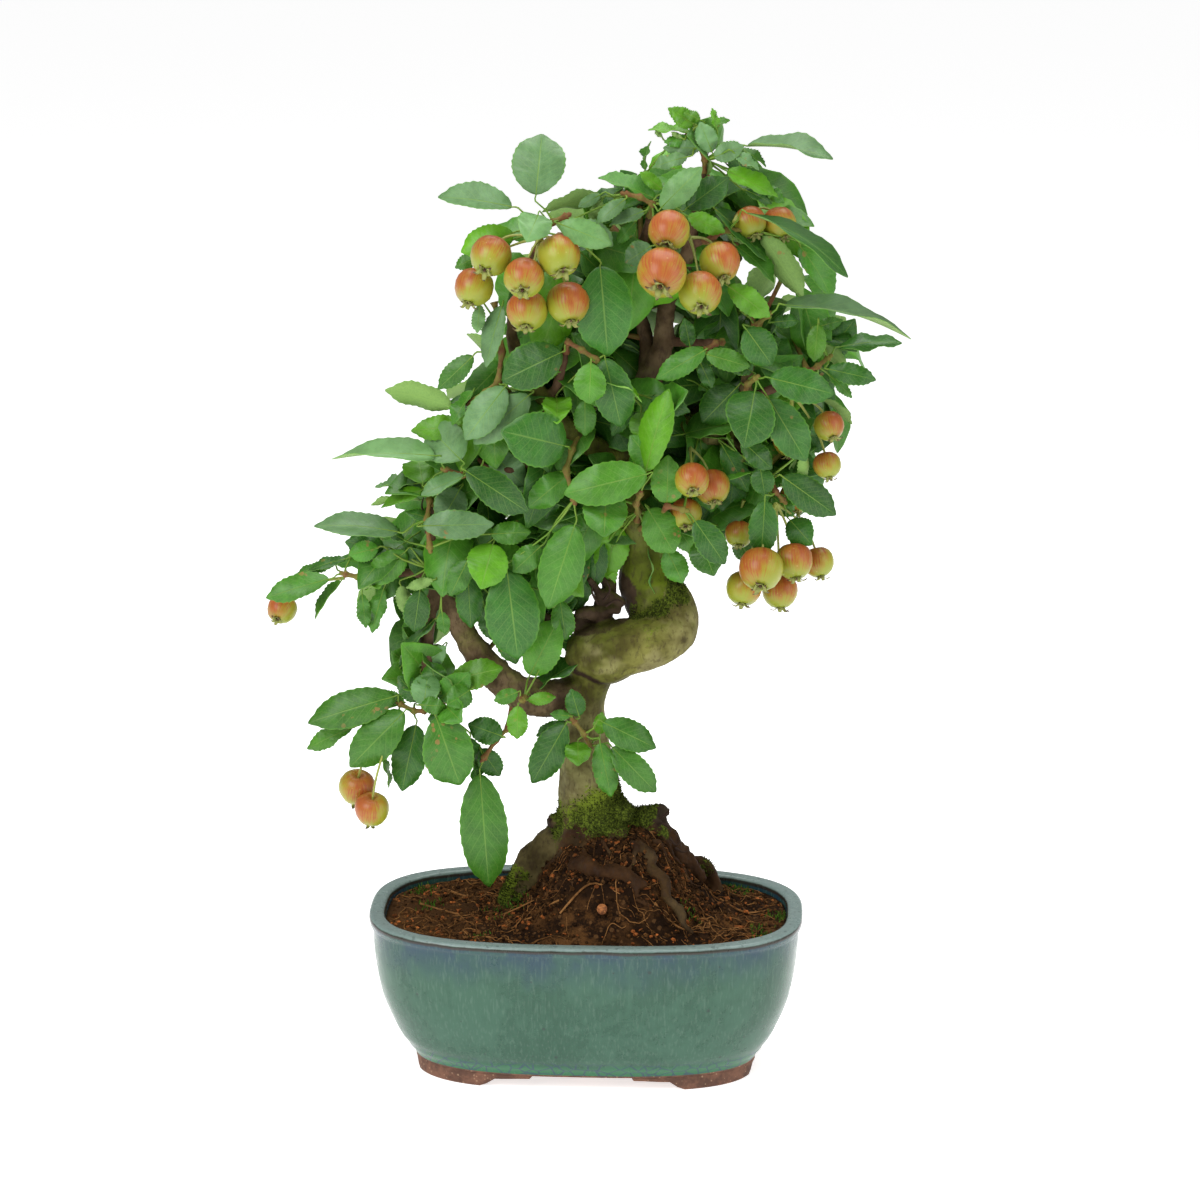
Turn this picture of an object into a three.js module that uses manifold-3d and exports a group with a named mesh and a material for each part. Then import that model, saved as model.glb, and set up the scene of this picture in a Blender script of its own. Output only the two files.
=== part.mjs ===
// Crabapple bonsai in a glazed oval-rectangular pot: the grown wood in one piece, leafy shoots,
// crabapples on their stalks, soil, the pot and its two drain meshes.
// Millimetres, +Z up. The pot's front faces -Y and the tree is composed to be seen from there.
import * as THREE from "three";
import { mergeVertices } from "three/addons/utils/BufferGeometryUtils.js";
import Module from "manifold-3d";

const wasm = await Module();
wasm.setup();

// ---- Driving dimensions ----
const GAP = 0.3; // clearance kept between neighbouring pieces
const WELD = 0.006; // points closer than this are one

// Pot: superellipse sections, half length along X and half depth along Y.
const POT_HEIGHT = 82.5;
const RIM_HALF_LENGTH = 110.6;
const RIM_HALF_DEPTH = 63;
const BASE_HALF_LENGTH = 90.5;
const BASE_HALF_DEPTH = 48;
const CORNER_POWER = 2.9;
const WALL = 8;
const FOOT_HEIGHT = 7.5;
const FLOOR_THICKNESS = 9;
const POT_SIDES = 32;
const DRAIN_RADIUS = 7;
const DRAIN_SPACING = 76;
const DRAIN_SIDES = 12;
const MESH_HALF_SIDE = 11;
const MESH_THICKNESS = 1.2;

// Soil: level under the rim, with a mound round the roots.
const SOIL_LEVEL = 77.5;
const MOUND_HEIGHT = 40;
const MOUND_X = 12;
const MOUND_Y = 6;

// Blades and stalks.
const BLADE_RIDGE = 1; // height of the midrib ridge; half of it lies below the blade's middle
const BROAD_BLADE = 0.68; // widest blade, as width over length
const SLIM_BLADE = 0.42; // slimmest blade lying flat
const WIDEST_AT = 0.44; // share of the blade's length
const BLADE_SHOULDER = 0.16; // half width at the foot of the blade, as a share of its full width
const STEEP_BLADE = 0.35; // rise over run above which a foreshortened blade leans away, not forward
const MOST_TURN = 1.25; // radians that a blade turns about its midrib
const PETIOLE_RADIUS = 0.65;
const PETIOLE_SOCKET = 0.6; // how far from the stem's axis a petiole starts
const SOCKET_STEP = 0.7; // along the stem from one petiole to the next
const SOCKET_STEPS = 4; // petioles before the sockets repeat
const STALK_RADIUS = 0.7;
const TWIG_RADIUS = 2.1;
const BUD_LENGTH = 2.4;
const TRUNK_SIDES = 9;
const LIMB_SIDES = 5;
const FRUIT_SIDES = 8;

// The tree is set out on a front sheet of half-millimetre squares, 1200 each way, counted from the
// top left corner. The sheet faces a viewpoint a little above and to the right of the pot's front.
const SHEET = {
  middle: 600,
  square: 0.5,
  aimSide: 7,
  aimHeight: 245,
  tilt: THREE.MathUtils.degToRad(16),
  turn: THREE.MathUtils.degToRad(2.9),
  reach: 2000,
};

// ---- Wood: [sheet x, sheet y, distance behind the pot's middle, diameter] ----
const TRUNK = [
  [[602, 930, 10, 46], [600, 880, 10, 54], [598, 850, 10, 50], [594, 822, 10, 42], [589, 796, 10, 33],
    [587, 765, 10, 29], [585, 725, 10, 21], [585, 702, 8, 20], [589, 682, 7, 21], [596, 662, 5, 24]],
  [[578, 658, 7, 20], [592, 655, 3, 27], [606, 655, 1, 31], [624, 649, 0, 29], [642, 645, -1, 28],
    [658, 639, 0, 27], [673, 629, 3, 26], [680, 612, 8, 20]],
  [[674, 624, 6, 24], [657, 606, 14, 31], [648, 582, 16, 31], [643, 556, 14, 21.5], [641, 534, 12, 17],
    [638, 505, 10, 18], [636, 478, 9, 18], [637, 450, 9, 18], [643, 405, 8, 16], [652, 368, 8, 13.5]],
];
const LIMBS = {
  right_leader: [[651, 378, 8, 13], [662, 345, 6, 10.5], [669, 302, 4, 9], [684, 268, 2, 7.5],
    [692, 232, 0, 6], [700, 195, -2, 4.5], [704, 172, -3, 3.4]],
  left_leader: [[648, 388, 8, 10], [645, 338, 14, 7.5], [635, 292, 15, 6.5], [641, 250, 6, 5],
    [650, 216, -6, 3.6]],
  left_branch: [[580, 691, 8, 22], [562, 699, 3, 21], [533, 696, 0, 19], [506, 683, -4, 16.5],
    [481, 658, -4, 14], [460, 626, -2, 12], [446, 596, 0, 10], [433, 562, 0, 8], [431, 530, -2, 6.5],
    [433, 506, -4, 5]],
  low_branch: [[438, 588, 0, 8], [430, 612, -2, 7.5], [426, 645, -6, 7], [428, 676, -9, 6], [430, 706, -13, 5]],
  outer_branch: [[441, 578, 0, 6], [415, 573, 0, 5], [384, 575, 0, 3.6]],
  upper_left: [[636, 458, 9, 13], [605, 452, 2, 11.5], [570, 430, -6, 10.5], [546, 402, -10, 9],
    [524, 370, -14, 7.5], [512, 330, -16, 6], [522, 285, -20, 5], [535, 250, -26, 3.8]],
  middle_left: [[578, 434, -5, 6], [532, 462, -10, 5], [492, 474, -14, 3.6]],
  centre_spur: [[550, 402, -10, 5.5], [560, 374, -16, 4.5], [566, 352, -20, 3.4]],
  right_branch: [[641, 412, 8, 12], [676, 424, 8, 11.5], [714, 438, 6, 11], [736, 420, 2, 9],
    [744, 392, -6, 7], [751, 352, -10, 5.5], [754, 336, -12, 4]],
  low_right: [[716, 436, 6, 8], [745, 452, 2, 6], [764, 468, -4, 4]],
  outer_right: [[743, 400, -4, 5.5], [780, 386, -6, 4.5], [808, 372, -6, 3.4]],
  centre_right: [[663, 342, 6, 5.5], [696, 342, -4, 4.5], [722, 342, -12, 3.4]],
  high_right: [[690, 244, 1, 4.6], [704, 241, -6, 3.4]],
  back_upper: [[650, 378, 8, 8], [640, 344, 28, 6], [628, 314, 38, 4]],
  back_right: [[680, 424, 8, 8], [712, 400, 28, 5.5], [734, 366, 38, 4]],
  back_left: [[605, 452, 2, 8], [564, 436, 24, 5.5], [528, 416, 36, 4]],
  back_middle: [[637, 500, 10, 8], [664, 488, 28, 6], [690, 470, 38, 4]],
  back_low: [[470, 642, -3, 8], [464, 604, 18, 5.5], [452, 578, 32, 4]],
  dead_stub: [[600, 630, 12, 9], [580, 622, 6, 9], [562, 622, 4, 8], [549, 620, 2, 7], [534, 612, -1, 5]],
  old_stub: [[600, 632, 10, 12], [603, 612, 8, 11.5], [607, 594, 9, 9], [612, 579, 10, 4.5]],
  left_stub: [[580, 824, 8, 12], [560, 822, 4, 9], [549, 821, 2, 6.5]],
  right_stub: [[628, 824, 10, 20], [650, 819, 8, 13], [662, 813, 7, 9]],
};
const ROOTS = {
  left: [[584, 846, 9, 28], [562, 860, 9, 24], [540, 874, 10, 19], [522, 890, 11, 15], [508, 908, 12, 10],
    [498, 922, 12, 6]],
  right: [[620, 838, 10, 28], [646, 856, 11, 21], [667, 879, 12, 15], [684, 902, 12, 11], [700, 920, 12, 7]],
  front: [[602, 858, 6, 24], [600, 884, -4, 18], [594, 908, -14, 12], [590, 930, -24, 6]],
  front_right: [[638, 860, 4, 14], [656, 884, -8, 9], [672, 908, -18, 6.5], [684, 926, -28, 5],
    [702, 944, -38, 4]],
  arched: [[668, 878, 18, 9], [684, 866, 23, 7.5], [702, 865, 25, 8], [714, 882, 24, 7], [719, 904, 22, 6]],
  back_left: [[580, 850, 20, 24], [558, 862, 30, 15], [540, 878, 37, 9], [530, 894, 41, 6]],
  back: [[612, 850, 22, 26], [622, 864, 32, 16], [628, 878, 40, 9], [632, 896, 45, 6]],
};

// ---- Leafy shoots: stem points [x, y, behind], then blades
// [base x, base y, tip x, tip y, width across, behind the stem, side shown]. The sides shown are
// S, G, D and Y for an upper face in sun, plain, in shade and young, and P for a pale underside.
const SHOOTS = {
  upper_left: {
    stem: [[535, 250, -26], [540, 234, -30], [553, 222, -30], [566, 216, -28]],
    blades: [
      [536, 195, 542, 134, 52, 0, "S"], [512, 207, 438, 197, 27, -2, "S"], [538, 215, 527, 242, 35, -8, "S"],
      [513, 233, 461, 252, 33, 8, "Y"], [560, 224, 612, 245, 27, -12, "S"], [480, 255, 455, 268, 16, 14, "D"],
      [600, 266, 608, 356, 56, 2, "D"],
    ],
  },
  centre_upper: {
    stem: [[566, 352, -20], [568, 342, -24], [582, 350, -26], [595, 359, -26], [614, 376, -22],
      [630, 392, -16]],
    blades: [
      [562, 352, 502, 381, 45, -4, "D"], [562, 356, 540, 378, 20, 6, "Y"], [591, 363, 589, 404, 32, -8, "G"],
      [557, 398, 557, 424, 30, 4, "Y"], [585, 400, 585, 436, 23, 3, "G"], [605, 358, 621, 427, 40, 0, "D"],
      [602, 382, 642, 402, 5, -6, "Y"], [641, 412, 641, 440, 24, 0, "Y"], [650, 398, 690, 412, 20, 4, "D"],
      [632, 400, 612, 436, 18, 6, "D"],
    ],
  },
  left_upper: {
    stem: [[494, 302, -22], [499, 322, -23], [502, 352, -22], [498, 382, -20], [486, 392, -18],
      [470, 402, -16]],
    blades: [
      [480, 305, 477, 333, 14, -4, "S"], [502, 306, 486, 367, 22, -4, "S"], [473, 356, 438, 389, 22, 6, "G"],
      [452, 407, 385, 390, 25, 4, "P"], [464, 425, 411, 431, 25, 6, "Y"], [473, 391, 452, 425, 14, 0, "G"],
      [505, 387, 465, 440, 35, -5, "S"], [529, 395, 474, 444, 35, -2, "S"], [500, 392, 524, 428, 22, 4, "D"],
    ],
  },
  left_middle: {
    stem: [[492, 474, -14], [476, 475, -18], [462, 475, -20], [446, 470, -20]],
    blades: [
      [435, 456, 332, 459, 20, -2, "S"], [461, 460, 429, 428, 45, -4, "S"], [423, 483, 418, 457, 35, 8, "Y"],
      [464, 476, 421, 495, 17, -4, "S"], [466, 471, 528, 512, 35, -8, "D"], [491, 452, 525, 486, 30, 2, "S"],
    ],
  },
  left_outer: {
    stem: [[433, 506, -4], [430, 499, -8], [427, 520, -14], [430, 548, -16]],
    blades: [
      [415, 484, 375, 487, 11, 2, "S"], [422, 490, 381, 508, 14, -2, "Y"], [420, 500, 371, 505, 8, 4, "P"],
      [398, 532, 314, 526, 25, -4, "S"], [423, 526, 494, 524, 30, -10, "S"],
      [491, 534, 531, 532, 24, -4, "G"],
      [460, 489, 440, 524, 34, 0, "S"], [435, 520, 405, 512, 12, 4, "D"], [404, 540, 372, 526, 12, 8, "D"],
    ],
  },
  left_lower: {
    stem: [[432, 560, -2], [428, 568, -8], [440, 575, -12], [460, 568, -14]],
    blades: [
      [384, 547, 345, 542, 25, 6, "D"], [378, 548, 349, 555, 22, 2, "G"], [406, 551, 368, 584, 30, -4, "G"],
      [433, 580, 406, 588, 12, -4, "P"], [420, 590, 414, 632, 27, -2, "D"], [401, 586, 406, 615, 16, 2, "P"],
      [435, 619, 400, 659, 12, 4, "D"], [442, 612, 445, 634, 14, -6, "G"], [468, 560, 450, 596, 24, -6, "G"],
      [468, 574, 471, 628, 28, 0, "D"], [493, 544, 481, 589, 42, -6, "Y"],
    ],
  },
  left_tip: {
    stem: [[384, 575, 0], [372, 573, -2], [358, 577, -3], [345, 574, -3]],
    blades: [
      [329, 579, 266, 598, 26, -4, "G"], [346, 559, 309, 570, 12, 4, "D"], [341, 581, 315, 619, 10, 2, "D"],
      [388, 580, 365, 590, 6, -8, "Y"], [384, 588, 372, 633, 18, 0, "G"], [362, 594, 366, 628, 15, 3, "G"],
      [330, 566, 296, 574, 12, 8, "D"],
    ],
  },
  centre_left: {
    stem: [[578, 436, -8], [572, 450, -18], [566, 470, -24], [574, 500, -26]],
    blades: [
      [565, 446, 501, 431, 55, -6, "D"], [569, 474, 528, 508, 30, 4, "G"], [541, 546, 513, 572, 26, 2, "G"],
      [575, 525, 548, 609, 45, -4, "S"], [507, 570, 518, 659, 55, 4, "D"], [548, 480, 546, 520, 26, 12, "D"],
    ],
  },
  front: {
    stem: [[637, 520, 2], [638, 512, -14], [636, 504, -24], [640, 494, -30]],
    blades: [
      [647, 474, 564, 494, 42, -4, "G"], [606, 492, 604, 537, 45, 2, "G"], [654, 465, 630, 435, 28, 4, "G"],
      [646, 471, 669, 389, 32, 0, "Y"], [617, 526, 606, 576, 34, 6, "Y"], [648, 546, 655, 602, 8, 4, "G"],
      [585, 572, 572, 612, 22, 16, "D"],
    ],
  },
  front_right: {
    stem: [[640, 528, 4], [660, 516, -12], [667, 506, -26], [684, 510, -28]],
    blades: [
      [667, 503, 668, 455, 34, 0, "G"], [648, 509, 674, 553, 38, -6, "G"], [695, 521, 725, 564, 30, -2, "D"],
      [700, 540, 714, 576, 34, 10, "D"], [667, 550, 683, 583, 27, 8, "G"], [700, 440, 712, 512, 44, 28, "D"],
    ],
  },
  right_low: {
    stem: [[764, 468, -4], [770, 477, -10], [776, 492, -12], [783, 500, -12]],
    blades: [
      [765, 500, 761, 556, 30, -6, "D"], [790, 520, 812, 545, 30, 6, "D"], [783, 477, 836, 515, 34, -4, "D"],
      [808, 452, 802, 485, 12, -2, "P"], [760, 467, 765, 496, 24, -8, "D"], [722, 445, 748, 492, 24, -2, "D"],
      [742, 441, 772, 469, 24, -10, "D"], [772, 496, 794, 516, 20, 8, "D"], [735, 470, 728, 520, 30, 12, "D"],
    ],
  },
  right_middle: {
    stem: [[744, 396, -8], [748, 384, -18], [756, 378, -22]],
    blades: [
      [755, 391, 744, 448, 50, -6, "D"], [769, 399, 806, 461, 38, -4, "D"], [737, 387, 702, 423, 38, 0, "D"],
      [770, 378, 834, 394, 35, -6, "D"], [752, 372, 726, 356, 22, 6, "D"],
    ],
  },
  right_outer: {
    stem: [[808, 372, -6], [818, 366, -8], [828, 358, -8]],
    blades: [
      [828, 369, 876, 380, 22, -4, "D"], [830, 376, 852, 398, 12, 2, "G"], [818, 342, 848, 371, 14, 4, "P"],
      [840, 347, 902, 343, 17, 0, "D"], [817, 327, 843, 320, 14, 8, "G"], [818, 324, 814, 362, 20, -6, "Y"],
      [822, 399, 852, 424, 8, 6, "P"],
    ],
  },
  right_upper: {
    stem: [[754, 336, -12], [755, 326, -16], [768, 315, -18]],
    blades: [
      [785, 305, 911, 339, 17, -4, "S"], [728, 286, 770, 317, 25, -4, "Y"], [746, 329, 772, 365, 35, -8, "D"],
      [773, 322, 800, 320, 14, 6, "D"], [744, 306, 758, 290, 12, 6, "D"],
    ],
  },
  centre_right: {
    stem: [[722, 342, -12], [716, 343, -18], [706, 350, -20]],
    blades: [
      [705, 350, 656, 379, 25, -4, "G"], [706, 354, 750, 367, 22, -4, "G"], [700, 362, 712, 388, 16, 4, "D"],
      [690, 346, 684, 318, 16, 8, "D"],
    ],
  },
  high_right: {
    stem: [[704, 241, -6], [714, 236, -10], [728, 230, -10], [752, 230, -8]],
    blades: [
      [688, 216, 725, 232, 20, -14, "Y"], [714, 208, 767, 261, 20, 4, "D"],
      [747, 213, 848, 277, 20, -16, "D"],
      [737, 246, 774, 283, 18, 4, "G"], [726, 232, 753, 253, 10, 10, "P"], [763, 236, 803, 298, 25, 2, "P"],
      [800, 246, 833, 301, 25, 8, "G"],
    ],
  },
  top: {
    stem: [[704, 172, -3], [705, 160, -5], [700, 146, -5], [690, 136, -4]],
    blades: [
      [694, 126, 672, 109, 20, 0, "Y"], [662, 137, 655, 130, 6, 2, "P"], [682, 138, 671, 132, 6, -4, "P"],
      [712, 152, 700, 122, 22, -4, "S"], [714, 157, 744, 146, 20, -6, "S"], [747, 146, 833, 159, 19, 2, "S"],
      [700, 148, 663, 148, 18, -2, "S"], [742, 149, 766, 167, 8, 6, "G"], [734, 153, 759, 170, 12, -8, "S"],
      [645, 170, 651, 141, 6, 4, "G"], [687, 157, 652, 168, 15, -6, "S"], [727, 171, 778, 197, 20, -2, "Y"],
      [765, 186, 784, 203, 14, 6, "G"], [745, 190, 772, 204, 12, 4, "D"],
    ],
  },
  top_left: {
    stem: [[650, 216, -6], [652, 204, -12], [640, 197, -14], [626, 194, -14]],
    blades: [
      [661, 208, 702, 167, 28, -6, "S"], [687, 208, 729, 177, 30, 4, "D"], [655, 199, 598, 178, 18, 6, "G"],
      [662, 189, 640, 172, 14, 6, "Y"], [600, 195, 578, 207, 12, 2, "S"], [602, 201, 589, 221, 12, 4, "P"],
      [625, 199, 596, 224, 16, -4, "S"], [644, 211, 609, 226, 14, -8, "S"], [580, 222, 613, 246, 24, 0, "S"],
      [635, 222, 617, 244, 14, -4, "G"], [651, 246, 625, 263, 25, -8, "S"], [602, 197, 542, 212, 14, 8, "P"],
    ],
  },
  lower_left: {
    stem: [[429, 690, -11], [434, 698, -15], [432, 708, -18], [424, 711, -17], [414, 711, -16],
      [400, 704, -14]],
    blades: [
      [395, 696, 308, 723, 38, -2, "G"], [352, 728, 307, 749, 20, 8, "G"], [404, 712, 350, 767, 42, -6, "G"],
      [416, 725, 402, 791, 36, 2, "D"], [436, 717, 460, 785, 52, -8, "G"], [470, 738, 475, 785, 14, 8, "D"],
      [421, 705, 446, 706, 18, -6, "G"], [381, 756, 389, 788, 5, 4, "Y"],
      [440, 690, 429, 662, 26, -2, "G"], [450, 680, 503, 668, 30, -2, "Y"], [470, 690, 447, 705, 26, -6, "G"],
      [442, 646, 395, 672, 18, 6, "S"],
    ],
  },
  lower_middle: {
    stem: [[514, 690, -4], [508, 728, -10], [496, 740, -14], [484, 758, -14]],
    blades: [
      [502, 736, 468, 724, 28, -4, "D"], [481, 749, 500, 776, 24, 4, "D"], [480, 774, 489, 887, 49, -2, "G"],
    ],
  },
  branch_front: {
    stem: [[530, 690, -6], [524, 698, -18], [522, 700, -22]],
    blades: [
      [530, 675, 559, 618, 38, -4, "G"], [533, 691, 585, 657, 17, 2, "D"], [528, 700, 556, 697, 14, -2, "Y"],
      [518, 692, 494, 701, 16, -2, "G"], [518, 706, 517, 739, 22, -2, "Y"], [560, 640, 590, 652, 18, 8, "D"],
    ],
  },
  trunk_front: {
    stem: [[586, 752, 0], [590, 746, -8], [584, 734, -12], [574, 722, -12]],
    blades: [
      [579, 716, 571, 689, 21, 2, "D"], [566, 724, 532, 783, 35, -2, "D"], [566, 722, 536, 736, 16, 4, "D"],
      [570, 716, 550, 714, 12, 0, "G"], [578, 742, 578, 766, 27, -2, "Y"], [603, 722, 656, 748, 32, -4, "D"],
      [600, 743, 611, 797, 26, -8, "G"], [612, 747, 656, 792, 30, -6, "G"], [600, 734, 602, 712, 16, 2, "Y"],
    ],
  },
};

// Hidden side of the crown: rosettes on the back limbs, [x, y, behind, blades].
const ROSETTES = {
  back_upper: [620, 296, 44, 9],
  back_right: [742, 348, 44, 9],
  back_left: [516, 404, 42, 9],
  back_middle: [702, 458, 44, 9],
  back_low: [446, 562, 38, 9],
};
const ROSETTE_BLADE = 40;
const ROSETTE_WIDTH = 22;
const ROSETTE_PETIOLE = 15;
const ROSETTE_DROOP = 10; // how far a blade's tip hangs
const ROSETTE_SPREAD = [0.5, 1.35]; // radians from the axis, first blade and last
const ROSETTE_FACING = [0.6, 0.8]; // how much a blade faces outward, and upward

// ---- Crabapples: spur [x, y, behind], then fruits [x, y, behind, diameter in squares] ----
const TRUSSES = {
  upper_left: {
    spur: [540, 238, -34],
    fruits: [[491, 256, -38, 40], [474, 287, -28, 38], [524, 278, -49, 39], [559, 256, -43, 42],
      [527, 311, -35, 40], [568, 303, -32, 42]],
  },
  upper_middle: {
    spur: [690, 238, -12],
    fruits: [[669, 231, -37, 40], [662, 273, -50, 48], [720, 262, -28, 40], [700, 293, -42, 42]],
  },
  upper_right: {
    spur: [734, 222, -12],
    fruits: [[750, 222, -4, 32], [779, 224, 2, 34]],
  },
  right: {
    spur: [792, 394, -10],
    fruits: [[829, 426, -12, 30], [827, 465, -8, 28], [790, 440, -2, 34], [795, 498, 4, 32]],
  },
  middle: {
    spur: [690, 448, -6],
    fruits: [[692, 480, -34, 34], [712, 487, -17, 36], [686, 514, -16, 32]],
  },
  inner: {
    spur: [744, 500, 2],
    fruits: [[739, 534, -4, 28]],
  },
  low_right: {
    spur: [776, 504, -14],
    fruits: [[761, 569, -29, 44], [794, 561, -14, 38], [818, 562, 1, 32], [744, 588, -11, 36],
      [780, 591, -3, 36]],
  },
  left_tip: {
    spur: [344, 578, 4],
    fruits: [[282, 609, 4, 30]],
  },
  lower_left: {
    spur: [398, 716, -16],
    fruits: [[357, 787, -12, 37], [372, 809, -26, 35]],
  },
};

const MATERIALS = {
  glaze: { color: 0x5c7e6d, roughness: 0.25, metalness: 0 },
  soil: { color: 0x3a281a, roughness: 0.95, metalness: 0 },
  bark: { color: 0x857d66, roughness: 0.85, metalness: 0 },
  leaf: { color: 0x4b8a45, roughness: 0.5, metalness: 0 },
  fruit: { color: 0xc08a45, roughness: 0.3, metalness: 0 },
  mesh: { color: 0x2a2d2b, roughness: 0.7, metalness: 0 },
};

// ---- Helpers ----
const UP = new THREE.Vector3(0, 0, 1);
const FORWARD = new THREE.Vector3(Math.sin(SHEET.turn), -Math.cos(SHEET.turn), 0);
const SIDEWAYS = new THREE.Vector3(Math.cos(SHEET.turn), Math.sin(SHEET.turn), 0);
const TO_VIEWER = FORWARD.clone()
  .multiplyScalar(Math.cos(SHEET.tilt))
  .addScaledVector(UP, Math.sin(SHEET.tilt));

// Point seen at a place on the front sheet, a given distance behind the pot's middle.
function seen([x, y, behind]) {
  const across = (x - SHEET.middle) * SHEET.square;
  const above = (SHEET.middle - y) * SHEET.square;
  const sin = Math.sin(SHEET.tilt);
  const cos = Math.cos(SHEET.tilt);
  const far = (behind * cos) / SHEET.reach;
  const rise = (above * (1 + far) - behind * sin) / (cos + (above * sin) / SHEET.reach);
  const scale = 1 + far - (rise * sin) / SHEET.reach;
  return new THREE.Vector3(0, 0, SHEET.aimHeight + rise)
    .addScaledVector(SIDEWAYS, across * scale + SHEET.aimSide)
    .addScaledVector(FORWARD, -behind);
}

function toSolid(geometry, weld = 1e-4) {
  const bare = geometry.clone();
  bare.deleteAttribute("normal");
  bare.deleteAttribute("uv");
  const merged = mergeVertices(bare, weld);
  return new wasm.Manifold(
    new wasm.Mesh({
      numProp: 3,
      vertProperties: new Float32Array(merged.attributes.position.array),
      triVerts: new Uint32Array(merged.index.array),
    }),
  );
}

function toGeometry(solid) {
  const mesh = solid.getMesh();
  const geometry = new THREE.BufferGeometry();
  geometry.setAttribute("position", new THREE.BufferAttribute(new Float32Array(mesh.vertProperties), 3));
  geometry.setIndex(new THREE.BufferAttribute(new Uint32Array(mesh.triVerts), 1));
  geometry.computeVertexNormals();
  return geometry;
}

// All of the solids as one.
const join = (solids) => solids.reduce((whole, solid) => whole.add(solid));

// The largest piece that is left after a cut.
function largestPiece(solid) {
  return solid.decompose().reduce((best, piece) => (piece.volume() > best.volume() ? piece : best));
}

// One plain body: hairline cracks between crossing stalks are welded shut and dropped.
const weldedOnce = (solid) => largestPiece(toSolid(toGeometry(solid), WELD));
const settled = (solid) => weldedOnce(weldedOnce(largestPiece(solid)));

// A closed skin through a row of rings: ring k goes through place(k, angle), round centre(k).
function skin(rings, sides, centre, place) {
  const geometry = new THREE.CylinderGeometry(1, 1, 1, sides, rings - 1);
  const points = geometry.attributes.position;
  for (let i = 0; i < points.count; i += 1) {
    const ring = Math.round((points.getY(i) + 0.5) * (rings - 1));
    const onAxis = Math.hypot(points.getX(i), points.getZ(i)) < 0.5;
    const angle = Math.atan2(points.getX(i), points.getZ(i));
    const point = onAxis ? centre(ring) : place(ring, angle);
    points.setXYZ(i, point.x, point.y, point.z);
  }
  return toSolid(geometry);
}

// A round tube through points with a radius at each, grown all round and at both ends by extra.
function tube(points, radii, sides, extra = 0) {
  const last = points.length - 1;
  const path = points.map((point) => point.clone());
  path[0].addScaledVector(points[1].clone().sub(points[0]).normalize(), -extra);
  path[last].addScaledVector(points[last - 1].clone().sub(points[last]).normalize(), -extra);
  const tangents = path.map((_, k) =>
    path[Math.min(k + 1, last)].clone().sub(path[Math.max(k - 1, 0)]).normalize(),
  );
  const side = new THREE.Vector3().crossVectors(tangents[0], FORWARD);
  if (side.lengthSq() < 0.01) {
    side.crossVectors(tangents[0], UP);
  }
  const sideways = tangents.map((tangent) => {
    side.addScaledVector(tangent, -side.dot(tangent)).normalize();
    return side.clone();
  });
  return skin(path.length, sides, (k) => path[k], (k, angle) => {
    const outward = sideways[k].clone().applyAxisAngle(tangents[k], angle);
    return path[k].clone().addScaledVector(outward, radii[k] + extra);
  });
}

const woodTube = (rows, sides, extra) =>
  tube(rows.map(seen), rows.map((row) => row[3] / 2), sides, extra); // the last value is a diameter

// A place on a superellipse of the pot's plan.
function onOval(halfLength, halfDepth, angle) {
  const cos = Math.cos(angle);
  const sin = Math.sin(angle);
  return [
    halfLength * Math.sign(cos) * Math.abs(cos) ** (2 / CORNER_POWER),
    halfDepth * Math.sign(sin) * Math.abs(sin) ** (2 / CORNER_POWER),
  ];
}

// ---- Pot ----
// Height and share of the way from base to rim, up the outer wall.
const WALL_PROFILE = [[0, 0], [0.09, 0.22], [0.25, 0.48], [0.44, 0.71], [0.7, 0.87], [0.98, 1]];
const RIM_ROUNDING = 1.2;

function ovalSize(share, inset) {
  return [
    THREE.MathUtils.lerp(BASE_HALF_LENGTH, RIM_HALF_LENGTH, share) - inset,
    THREE.MathUtils.lerp(BASE_HALF_DEPTH, RIM_HALF_DEPTH, share) - inset,
  ];
}

// Share of the way from base size to rim size at a height on the wall.
function wallShare(z) {
  const height = (z - FOOT_HEIGHT) / (POT_HEIGHT - FOOT_HEIGHT);
  const above = WALL_PROFILE.findIndex(([at]) => at >= height);
  if (above <= 0) {
    return above === 0 ? 0 : 1;
  }
  const [lowAt, lowShare] = WALL_PROFILE[above - 1];
  const [highAt, highShare] = WALL_PROFILE[above];
  return THREE.MathUtils.mapLinear(height, lowAt, highAt, lowShare, highShare);
}

function ovalSkin(levels) {
  const centre = (k) => new THREE.Vector3(levels[k].x ?? 0, levels[k].y ?? 0, levels[k].z);
  return skin(levels.length, POT_SIDES, centre, (k, angle) => {
    const [x, y] = onOval(...levels[k].size, angle);
    return centre(k).add(new THREE.Vector3(x, y, 0));
  });
}

// A corner foot: a low bracket under the pot's edge, thick in its middle, with a thin tongue each
// side. [degrees round the corner, height of the underside]
const FOOT_STATIONS = [[6, 4.2], [14, 4.2], [18, 0], [62, 0], [66, 4.2], [78, 4.2]];
const FOOT_TOP = FOOT_HEIGHT + 1;
const FOOT_INSET = 1.5;
const FOOT_WIDTH = 13;

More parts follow.
